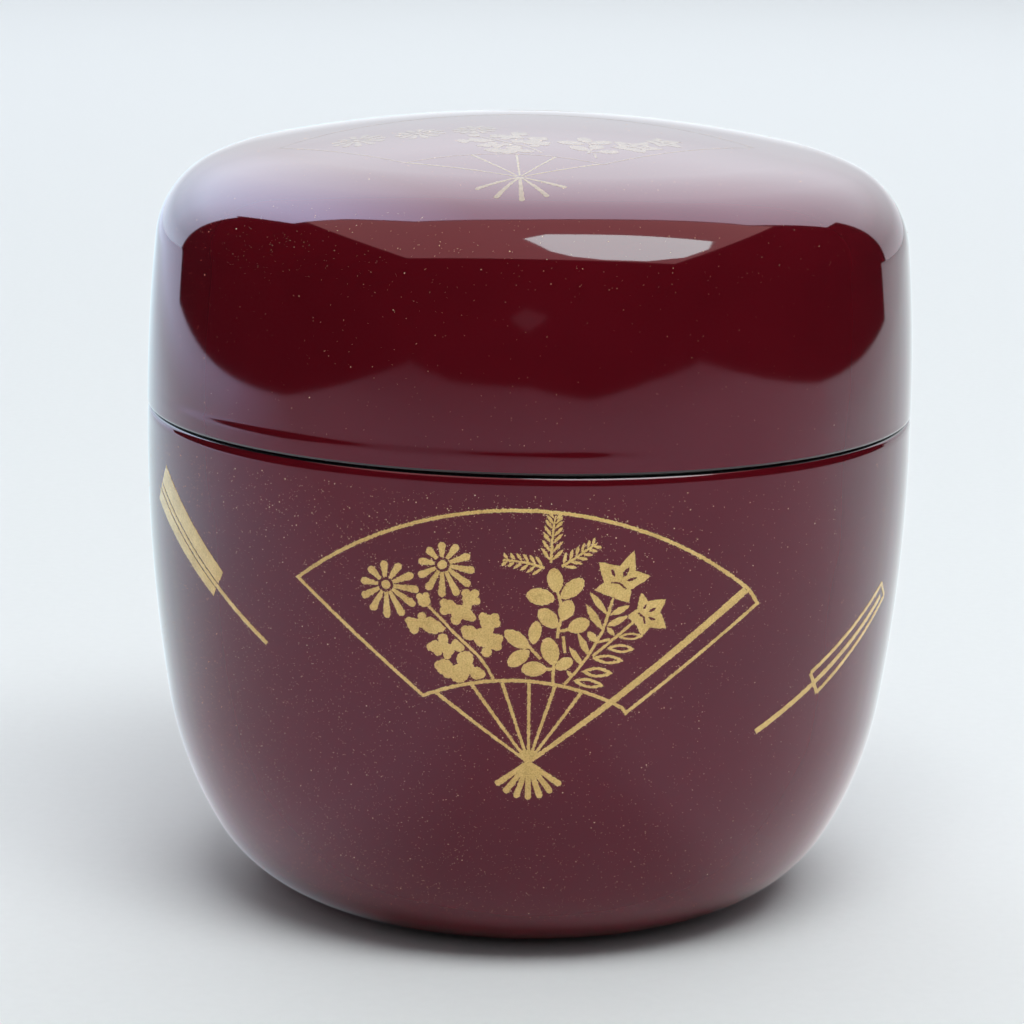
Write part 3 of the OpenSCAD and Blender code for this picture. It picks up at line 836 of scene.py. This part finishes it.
def in_drawing(points, drawing):
    """Which points are gold: in a fill of some layer and in none of that layer's cut-outs."""
    gold = np.zeros(len(points), bool)
    for fills, cuts in drawing:
        filled = np.zeros(len(points), bool)
        for outline in fills:
            filled |= inside(points, outline)
        for outline in cuts:
            filled &= ~inside(points, outline)
        gold |= filled
    return gold


def triangulate(drawing, rng):
    """Flat triangles over a drawing, with loose points inside for the grain."""
    outlines = [outline for fills, cuts in drawing for outline in fills + cuts]
    points, edges = [], []
    for outline in outlines:
        first = sum(len(p) for p in points)
        points.append(outline)
        edges += [(first + i, first + (i + 1) % len(outline)) for i in range(len(outline))]
    everything = np.vstack(points)
    low, high = everything.min(axis=0), everything.max(axis=0)
    grid = np.stack(np.meshgrid(np.arange(low[0], high[0], GRAIN_STEP),
                                np.arange(low[1], high[1], GRAIN_STEP)), axis=-1).reshape(-1, 2)
    grid = grid + rng.uniform(-0.4, 0.4, grid.shape) * GRAIN_STEP
    points.append(grid[in_drawing(grid, drawing)])
    flat = [Vector(p) for p in np.vstack(points).tolist()]
    verts, _, faces, _, _, _ = delaunay_2d_cdt(flat, edges, [], 0, 1e-5)
    verts = np.array([tuple(v) for v in verts])
    faces = np.array(faces)
    centres = verts[faces].mean(axis=1)
    return verts, faces[in_drawing(centres, drawing)]


def relief_mesh(name, flat, faces, lay, rng, relief):
    """A closed, low relief: grainy top, walls and a foot bedded in the lacquer."""
    used, compact = np.unique(faces, return_inverse=True)
    faces = compact.reshape(-1, 3)
    flat = flat[used]
    count = len(flat)
    sides = np.vstack([faces[:, [0, 1]], faces[:, [1, 2]], faces[:, [2, 0]]])
    seen = {tuple(side) for side in sides.tolist()}
    border = [side for side in sides.tolist() if (side[1], side[0]) not in seen]
    height = relief + rng.uniform(-0.25, 0.25, count) * relief
    rim = sorted({i for side in border for i in side})
    height[rim] *= 0.5
    top = lay(flat, height)
    foot = lay(flat, np.full(count, -SINK))
    everything = np.vstack([top, foot])
    triangles = faces.tolist()
    all_faces = triangles + [[c + count, b + count, a + count] for a, b, c in triangles]
    all_faces += [[b, a, a + count, b + count] for a, b in border]
    return mesh_from(name, everything, all_faces), flat[rim]


def gild(node, drawing, lay, body, surface_name, seed, stray_turn=0, powder=GOLD, relief=RELIEF):
    """Makes one gold piece for a CAD node and notes where loose powder may lie round it."""
    rng = np.random.default_rng(seed)
    rough = [([ragged(o, rng) for o in fills], [ragged(o, rng) for o in cuts])
             for fills, cuts in drawing]
    flat, faces = triangulate(rough, rng)
    name = "gold_" + node
    mesh, rim = relief_mesh(name, flat, faces, lay, rng, relief)
    piece = new_object(name, mesh)
    mesh.materials.append(powder)
    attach(piece, body)
    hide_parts(node)
    stray_points[surface_name].append((rim, stray_turn))


def gild_front():
    def lay(flat, height):
        return wall_surface.from_front(flat, height)

    drawings = {
        "front_fan_outline": fan_outline(FRONT_LEAF, *FRONT_EDGES),
        "front_fan_ribs": fan_ribs(FRONT_LEAF, FRONT_STICKS[1:], *FRONT_RIBS),
        "front_fan_guard": fan_guard(),
        "front_fan_tails": fan_tails(FRONT_STICKS, *FRONT_TAILS),
        "chrysanthemum_left": chrysanthemum((-11.5, 14.15), (0.3, -0.37), 2.35, 4),
        "chrysanthemum_right": chrysanthemum((-7.05, 16.15), (0.3, -0.4), 2.25, 1),
        "chrysanthemum_leaves": chrysanthemum_leaves(),
        "clover_sprig_tall": clover_sprig(TALL_SPRIG_STEMS, TALL_SPRIG_LEAVES),
        "clover_sprig_low": clover_sprig(LOW_SPRIG_STEMS, LOW_SPRIG_LEAVES),
        "fern_spray": fern_spray(),
        "bellflower_upper": bellflower(UPPER_BELL, UPPER_BELL_MARKS),
        "bellflower_lower": bellflower(LOWER_BELL, LOWER_BELL_MARKS),
        "bellflower_leaves": bell_foliage(),
    }
    for number, (node, drawing) in enumerate(drawings.items()):
        gild(node, shifted(drawing, FRONT_PIVOT), lay, "body", "wall", 100 + number)


SIDE_FAN_AZIMUTH = 55


def gild_sides():
    sides = {"left_folded_fan": (left_folded_fan(), -SIDE_FAN_AZIMUTH),
             "right_folded_fan": (right_folded_fan(), SIDE_FAN_AZIMUTH)}
    for number, (node, (drawing, azimuth)) in enumerate(sides.items()):
        def lay(flat, height, azimuth=azimuth):
            return wall_surface.from_front(flat, height, azimuth)
        gild(node, drawing, lay, "body", "wall", 200 + number, azimuth)


# Each flower on the lid: its eye, how far the ring of its tips is off the eye, that ring's radius,
# and the first petal's direction.
LID_FLOWERS = [((-13.6, 14.1), (0.2, -0.2), 2.3, 10), ((-8.6, 14.9), (0.2, -0.2), 2.1, 25),
               ((-4.0, 15.7), (0.1, -0.2), 1.9, 40)]
RUBBED_NODES = ("lid_fan_ribs", "lid_fan_tails")     # the gold that shows best through the reflection


def gild_lid():
    flowers = sum([chrysanthemum(*entry) for entry in LID_FLOWERS], [])
    bells = (shifted(bellflower(UPPER_BELL, UPPER_BELL_MARKS), (2.4, -4.6))
             + shifted(bellflower(LOWER_BELL, LOWER_BELL_MARKS), (2.6, 1.2)))
    drawings = {
        "lid_fan_outline": fan_outline(LID_LEAF, *LID_EDGES),
        "lid_fan_ribs": fan_ribs(LID_LEAF, LID_STICKS, *LID_RIBS),
        "lid_fan_tails": fan_tails(LID_STICKS, *LID_TAILS),
        "lid_chrysanthemums": flowers,
        "lid_clover_sprig": shifted(clover_sprig(TALL_SPRIG_STEMS, TALL_SPRIG_LEAVES), (3.4, -3.4)),
        "lid_bellflower": bells,
        "lid_leaves": shifted(chrysanthemum_leaves(), (4.6, -0.2)),
    }
    for number, (node, drawing) in enumerate(drawings.items()):
        gild(node, shifted(drawing, LID_PIVOT), top_surface.from_above, "lid", "top", 300 + number,
             powder=RUBBED_GOLD if node in RUBBED_NODES else FAINT_GOLD,
             relief=RUBBED_RELIEF)


# ---- Loose gold dust ----

FLAKE_SIDES = 4


def flakes(name, places, normals, sizes, rng):
    """Small flat chips with a low peak, each bedded in the lacquer, as one mesh."""
    count = len(places)
    helper = np.where(np.abs(normals[:, 2:3]) > 0.9, [[1.0, 0, 0]], [[0, 0, 1.0]])
    along = np.cross(helper, normals)
    along /= np.linalg.norm(along, axis=1)[:, None]
    across = np.cross(normals, along)
    turns = rng.uniform(0, 2 * math.pi, (count, 1)) + np.arange(FLAKE_SIDES) * 2 * math.pi / FLAKE_SIDES
    reach = sizes[:, None] * rng.uniform(0.65, 1.2, (count, FLAKE_SIDES))
    rim = (places[:, None, :]
           + (reach * np.cos(turns))[..., None] * along[:, None, :]
           + (reach * np.sin(turns))[..., None] * across[:, None, :]
           + (sizes * 0.12)[:, None, None] * normals[:, None, :])
    peak = places + normals * (sizes * 0.5)[:, None]
    foot = places - normals * (sizes * 0.6)[:, None]
    points = np.concatenate([peak[:, None], foot[:, None], rim], axis=1).reshape(-1, 3)
    faces = []
    for k in range(count):
        first = k * (FLAKE_SIDES + 2)
        for i in range(FLAKE_SIDES):
            a = first + 2 + i
            b = first + 2 + (i + 1) % FLAKE_SIDES
            faces.append([first, a, b])
            faces.append([first + 1, b, a])
    mesh = mesh_from(name, points, faces)
    mesh.materials.append(DUST)
    return new_object(name, mesh)


def on_level(surface, angle, level):
    """Points and normals at given angles and levels of a wall."""
    base = surface.at_level(angle, level, np.zeros(len(level)))
    return base, surface.at_level(angle, level, np.ones(len(level))) - base


NEAR_SHARE = 0.65           # this share of the loose grains lies close to an edge
NEAR_REACH = 0.11
FAR_REACH = 0.35


def strays(entries, count, rng):
    """Places near the gold's edges, more of them close by, with each drawing's azimuth."""
    rims = np.vstack([rim for rim, _ in entries])
    turns = np.concatenate([np.full(len(rim), turn, float) for rim, turn in entries])
    picked = rng.integers(0, len(rims), count)
    away = rng.exponential(np.where(rng.uniform(0, 1, count) < NEAR_SHARE, NEAR_REACH, FAR_REACH))
    angle = rng.uniform(0, 2 * math.pi, count)
    return rims[picked] + np.stack([away * np.cos(angle), away * np.sin(angle)], axis=1), turns[picked]


BODY_DUST = 38000           # places tried on the body; the thinner parts keep fewer of them
BODY_STRAYS = 12000
LID_DUST = 2000
SHOULDER_DUST = 2000
LID_STRAYS = 700
SMALLEST = 0.0135           # radius of the finest flake
TYPICAL = 0.0075            # how much larger flakes are on average
COARSEST = 0.065


COARSE_LEVEL = 38           # where the flakes are coarsest, just below the seam
DENSE_AZIMUTH = -25         # where the dust lies thickest, left of the front
BACK_SHARE = 0.12           # how thick it lies at the back, compared with there


def flake_sizes(level, rng):
    """Radii of flakes: most are very fine, a few are coarse, and more so just below the seam."""
    coarser = 1 + 0.5 * np.exp(-((level - COARSE_LEVEL) / 4) ** 2)
    return np.minimum(SMALLEST + rng.exponential(TYPICAL, len(level)) * coarser, COARSEST)


def dust_share(azimuth, level):
    """How thick the dust lies: thickest at the front left, thin at the back."""
    facing = np.maximum(0, np.cos(np.radians(azimuth - DENSE_AZIMUTH))) ** 2
    round_wall = BACK_SHARE + (1 - BACK_SHARE) * facing
    return round_wall * (0.75 + 0.25 * np.sin(level / 5.5) ** 2)


def lay_dust(name, points, normals, body, rng):
    """One piece of loose dust on a body."""
    dust = flakes(name, points, normals, flake_sizes(points[:, 2], rng), rng)
    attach(dust, body)


WALL_LEVELS = (4, 41.2)             # levels of the body's dust
LID_LEVELS = (1, 14)                # levels above the seam, on the lid's wall
SHOULDER_LEVELS = (14, 19.8)        # and on its shoulder
TOP_REACH = 27                      # radius of the dust on the lid's top


def dust_body():
    """Dust all over the body's wall, and loose powder about the drawings."""
    rng = np.random.default_rng(41)
    level = rng.uniform(*WALL_LEVELS, BODY_DUST)
    azimuth = rng.uniform(-180, 180, BODY_DUST)
    kept = rng.uniform(0, 1, BODY_DUST) < dust_share(azimuth, level)
    lay_dust("gold_dust_body", *on_level(wall_surface, np.radians(azimuth[kept] - 90), level[kept]),
             "body", rng)
    flat, turn = strays(stray_points["wall"], BODY_STRAYS, rng)
    edge = wall_surface.from_front(flat, np.zeros(len(flat)))
    lay_dust("gold_powder_strays",
             *on_level(wall_surface, np.arctan2(edge[:, 1], edge[:, 0]) + np.radians(turn), flat[:, 1]),
             "body", rng)


def dust_lid():
    """Finer dust on the lid's wall, shoulder and top."""
    rng = np.random.default_rng(43)
    level = SEAM + np.concatenate([rng.uniform(*LID_LEVELS, LID_DUST),
                                   rng.uniform(*SHOULDER_LEVELS, SHOULDER_DUST)])
    azimuth = rng.uniform(-180, 180, len(level))
    kept = rng.uniform(0, 1, len(level)) < dust_share(azimuth, level)
    wall = on_level(lid_wall_surface, np.radians(azimuth[kept] - 90), level[kept])
    radius = TOP_REACH * np.sqrt(rng.uniform(0, 1, LID_DUST))
    angle = rng.uniform(0, 2 * math.pi, LID_DUST)
    spread = np.stack([radius * np.cos(angle), radius * np.sin(angle)], axis=1)
    flat, _ = strays(stray_points["top"], LID_STRAYS, rng)
    flat = np.vstack([spread, flat])
    top = top_surface.from_above(flat, np.zeros(len(flat)))
    top_normal = top_surface.from_above(flat, np.ones(len(flat))) - top
    lay_dust("gold_dust_lid", np.vstack([wall[0], top]), np.vstack([wall[1], top_normal]), "lid", rng)


# ---- Studio: floor, soft light and what the gloss sees ----

FLOOR_COLOUR = (0.80, 0.825, 0.84)
SKY_LEVEL = 1.0             # level of the overhead sheet, in metres
FILL_STRENGTH = 0.09
ROOM_LEVEL = 3
ROOM_RADIANCE = 0.3
KEY_RADIANCE = 6.5
BACK_RADIANCE = 1.75
LAMP_RADIANCE = 10.2
FLAP_RADIANCE = 1.75


# What the gloss sees of the sheet: its front lies in shade, and its far sides catch window light.
# Both run over a named reach of the sheet in metres, along Y and along X.
SHADE_REACH = (-0.65, 0.05)
GLOW_REACH = (-0.35, 0.35)
GLOW_BEHIND = (-0.12, 0.02)     # the window light grows over this stretch along Y
SHEET_SHADE = [(0.0, (0.45, 0.36, 0.37)), (0.357, (0.62, 0.52, 0.53)), (0.571, (0.85, 0.70, 0.71)),
               (0.786, (1.0, 0.82, 0.83)), (0.93, (1.0, 0.84, 0.85)), (1.0, (1.0, 1.0, 1.0))]
SIDE_GLOW = [(0.0, (0.52, 0.66, 1.00)), (0.143, (0.22, 0.32, 0.44)), (0.28, (0.28, 0.46, 0.56)),
             (0.40, (0.24, 0.37, 0.40)), (0.46, (0.42, 0.50, 0.56)), (0.485, (0.0, 0.0, 0.0)),
             (0.525, (0.0, 0.0, 0.0)), (0.54, (0.36, 0.42, 0.42)), (0.71, (0.28, 0.34, 0.34)),
             (0.90, (0.22, 0.28, 0.27)), (1.0, (0.10, 0.12, 0.12))]


def paper_tint(nodes):
    """The paper's colour, which drifts a little."""
    speckle = nodes.noise(900, detail=3)
    low = tuple(0.985 * c for c in FLOOR_COLOUR)
    return nodes.ramp(speckle, [(0.3, low), (0.7, FLOOR_COLOUR)])


def sheet_material():
    """Pale paper, with its own shade and side light as the gloss sees it."""
    nodes = Nodes("sheet")
    seen = nodes.add("LightPath").outputs["Is Glossy Ray"]
    split = nodes.add("SeparateXYZ")
    nodes.join(nodes.place(), split.inputs[0])
    depth = nodes.between(split.outputs["Y"], *SHADE_REACH)
    shade = nodes.add("Mix", data_type="RGBA", blend_type="MULTIPLY")
    nodes.join(seen, shade.inputs["Factor"])
    nodes.join(paper_tint(nodes), shade.inputs["A"])
    nodes.join(nodes.ramp(depth, SHEET_SHADE), shade.inputs["B"])
    glow = nodes.ramp(nodes.between(split.outputs["X"], *GLOW_REACH), SIDE_GLOW)
    behind = nodes.add("Math", operation="MULTIPLY")
    nodes.join(seen, behind.inputs[0])
    nodes.join(nodes.between(split.outputs["Y"], *GLOW_BEHIND), behind.inputs[1])
    nodes.feed(Base_Color=shade.outputs["Result"], Emission_Color=glow, Emission_Strength=behind.outputs[0])
    nodes.set(**PAPER)
    return nodes.material


FADE_REACH = (1.4, 3.4)         # distances from the caddy where the far floor's fade starts and ends
FADE_COLOUR = (0.66, 0.70, 0.74)
PAPER = {"Roughness": 0.9, "Specular_IOR_Level": 0.1}


def far_floor_material():
    """Pale paper that fades into the pale distance, where the lamps don't reach."""
    nodes = Nodes("far_floor")
    distance = nodes.add("VectorMath", operation="LENGTH")
    nodes.join(nodes.place(), distance.inputs[0])
    fade = nodes.add("Math", operation="MULTIPLY")
    nodes.join(nodes.between(distance.outputs["Value"], *FADE_REACH), fade.inputs[0])
    nodes.join(nodes.add("LightPath").outputs["Is Camera Ray"], fade.inputs[1])
    nodes.feed(Base_Color=paper_tint(nodes), Emission_Strength=fade.outputs[0])
    nodes.set(**PAPER, Emission_Color=(*FADE_COLOUR, 1))
    return nodes.material


def glow_material(name, colour, strength):
    """An evenly glowing sheet."""
    nodes = Nodes(name)
    nodes.glow(colour, strength)
    return nodes.material


# The tent's glow at each height, given as the sine of the angle that it is seen at from the caddy.
TENT_GLOW = [(0.0, 1.15), (0.13, 1.0), (0.27, 1.4), (0.39, 2.0), (0.60, 2.65), (0.80, 3.4), (1.0, 3.6)]
GLOW_FULL = 3.6
TENT_LEFT = (1.4, 1.72, 2.1)
TENT_RIGHT = (1.02, 1.08, 1.14)
TINT_FROM = -0.65           # sine of the direction, to the left, where the bluer tint is full
TINT_TO = -0.15             # and where it ends


def tent_material():
    """The cloth tent: brighter the higher it is seen from the caddy, and bluer on the left."""
    nodes = Nodes("tent")
    colour = nodes.glow((1, 1, 1), GLOW_FULL)
    toward = nodes.add("VectorMath", operation="NORMALIZE")
    nodes.join(nodes.place(), toward.inputs[0])
    split = nodes.add("SeparateXYZ")
    nodes.join(toward.outputs[0], split.inputs[0])
    rise = nodes.ramp(split.outputs["Z"], [(height, (value / GLOW_FULL,) * 3) for height, value in TENT_GLOW])
    tint = nodes.add("Mix", data_type="RGBA")
    tint.inputs["A"].default_value = (*TENT_LEFT, 1)
    tint.inputs["B"].default_value = (*TENT_RIGHT, 1)
    nodes.join(nodes.between(split.outputs["X"], TINT_FROM, TINT_TO), tint.inputs["Factor"])
    both = nodes.add("VectorMath", operation="MULTIPLY")
    nodes.join(rise, both.inputs[0])
    nodes.join(tint.outputs["Result"], both.inputs[1])
    nodes.join(both.outputs[0], colour)
    return nodes.material


def stage_mesh(name, points, faces, material, gloss_only=True):
    """A studio sheet in metres; most are seen only in the gloss."""
    mesh = bpy.data.meshes.new(name)
    mesh.from_pydata(points, [], faces)
    mesh.materials.append(material)
    sheet = new_object(name, mesh)
    if gloss_only:
        sheet.visible_camera = False
        sheet.visible_diffuse = False
        sheet.visible_shadow = False
        sheet.visible_transmission = False
    return sheet


def panel(name, outline, level, material, gloss_only=True):
    """A flat level sheet."""
    points = [(x, y, level) for x, y in outline]
    return stage_mesh(name, points, [list(range(len(points)))], material, gloss_only)


# The white sheet the caddy stands on ends a little way in front of it; the gloss sees the dark
# room past that edge. The far floor only fills the view.
SHEET_EDGE = [(-1.4, 2.5), (-1.38, 1.13), (-0.45, 0.33), (-0.38, -0.12), (-0.53, -0.78), (-0.26, -0.64),
              (0.0, -0.66), (0.15, -0.51), (0.39, -0.575), (0.69, -0.59), (0.44, 0.0), (0.42, 0.32),
              (1.36, 1.06), (1.4, 2.5)]
CEILING_EDGE = [(-1.53, 0.81), (-1.10, 0.135), (-0.67, 0.035), (-0.385, -0.1), (-0.018, -0.05),
                (0.36, 0.05), (0.795, 0.155), (1.48, 0.755), (1.2, 2.5), (-1.2, 2.5)]
FLAP_EDGE = [(-0.95, 0.1), (-1.02, -1.2), (1.23, -1.2), (0.95, 0.25), (0.795, 0.145), (0.36, 0.04),
             (-0.018, -0.06), (-0.385, -0.11), (-0.67, 0.025)]
LAMP_EDGE = [(-0.035, -0.50), (0.10, -0.85), (0.25, -1.02), (0.50, -1.12), (0.85, -1.10), (1.05, -0.85),
             (1.0, -0.50), (0.85, -0.30), (0.35, -0.33), (0.05, -0.38)]
CARD_CORNERS = [(-0.041, -0.4, 0.060), (-0.005, -0.4, 0.053), (0.036, -0.4, 0.0615), (-0.010, -0.4, 0.066)]
LAMP_COLOUR = (0.71, 1.0, 0.83)
WALL_ENDS = {-1: (130, 116), 1: (132, 124)}     # azimuths of the cloth's front edges, at foot and top
WALL_RADIUS = 1.73


def make_floor():
    """The sheet under the caddy and a broad floor that only the camera and matt surfaces see."""
    panel("floor_sheet", SHEET_EDGE, 0.0, sheet_material(), gloss_only=False)
    reach = 4.0
    square = [(-reach, -reach), (reach, -reach), (reach, reach), (-reach, reach)]
    far = panel("floor_far", square, -0.0004, far_floor_material(), gloss_only=False)
    far.visible_glossy = False


def make_tent():
    """Cloth hung round the back, open in front, and its ceiling."""
    cloth = tent_material()
    points, faces = [], []
    steps = 30
    for i in range(steps + 1):
        share = abs(2 * i / steps - 1)
        side = 1 if i * 2 > steps else -1
        foot, top = (math.radians(180 - side * share * (180 - end)) for end in WALL_ENDS[side])
        points.append((WALL_RADIUS * math.sin(foot), -WALL_RADIUS * math.cos(foot), -0.02))
        points.append((WALL_RADIUS * math.sin(top), -WALL_RADIUS * math.cos(top), SKY_LEVEL))
    for i in range(steps):
        faces.append([2 * i, 2 * i + 2, 2 * i + 3, 2 * i + 1])
    stage_mesh("tent_wall", points, faces, cloth)
    panel("tent_ceiling", CEILING_EDGE, SKY_LEVEL, cloth)
    panel("tent_flap", FLAP_EDGE, SKY_LEVEL - 0.01, glow_material("flap", (1.0, 0.62, 0.52), FLAP_RADIANCE))
    stage_mesh("pale_card", CARD_CORNERS, [[0, 1, 2, 3]], glow_material("card", (1.0, 0.8, 0.8), 0.3))
    panel("lamp_glass", LAMP_EDGE, SKY_LEVEL - 0.03, glow_material("lamp", LAMP_COLOUR, LAMP_RADIANCE))


def area_light(name, place, size, radiance, colour):
    """A soft rectangular light that faces down and lights matt surfaces only."""
    data = bpy.data.lights.new(name, "AREA")
    data.shape = "RECTANGLE"
    data.size, data.size_y = size
    data.energy = radiance * math.pi * size[0] * size[1]
    data.color = colour
    lamp = new_object(name, data)
    lamp.location = place
    lamp.visible_camera = False
    lamp.visible_glossy = False


def make_lights():
    area_light("room", (0, 0, ROOM_LEVEL), (12, 12), ROOM_RADIANCE, (0.98, 1.0, 1.02))
    area_light("key", (0.22, -0.5, SKY_LEVEL), (0.9, 0.5), KEY_RADIANCE, (0.98, 1.0, 1.0))
    area_light("back", (0.1, 0.95, SKY_LEVEL), (1.9, 0.8), BACK_RADIANCE, (0.97, 1.0, 1.04))


def make_world():
    """Pale to the camera, a soft fill to matt surfaces, and a dark room to the gloss."""
    world = bpy.data.worlds.new("studio")
    world.use_nodes = True
    bpy.context.scene.world = world
    tree = world.node_tree
    tree.nodes.clear()
    seen = tree.nodes.new("ShaderNodeLightPath")
    out = tree.nodes.new("ShaderNodeOutputWorld")

    def ground(colour, strength):
        node = tree.nodes.new("ShaderNodeBackground")
        node.inputs["Color"].default_value = (*colour, 1)
        node.inputs["Strength"].default_value = strength
        return node.outputs["Background"]

    def choose(factor, first, second):
        node = tree.nodes.new("ShaderNodeMixShader")
        tree.links.new(factor, node.inputs[0])
        tree.links.new(first, node.inputs[1])
        tree.links.new(second, node.inputs[2])
        return node.outputs[0]

    fill = ground((0.95, 0.99, 1.0), FILL_STRENGTH)
    dark = ground((0.010, 0.012, 0.016), 1.0)
    pale = ground((0.82, 0.88, 0.93), 1.0)
    indirect = choose(seen.outputs["Is Glossy Ray"], fill, dark)
    tree.links.new(choose(seen.outputs["Is Camera Ray"], indirect, pale), out.inputs["Surface"])


def set_exposure():
    bpy.context.scene.view_settings.view_transform = "Standard"
    bpy.context.scene.view_settings.look = "None"


# ---- Build ----

make_camera()
make_world()
make_floor()
make_tent()
make_lights()
set_exposure()
finish_wood()
make_coats()
gild_front()
gild_sides()
gild_lid()
dust_body()
dust_lid()
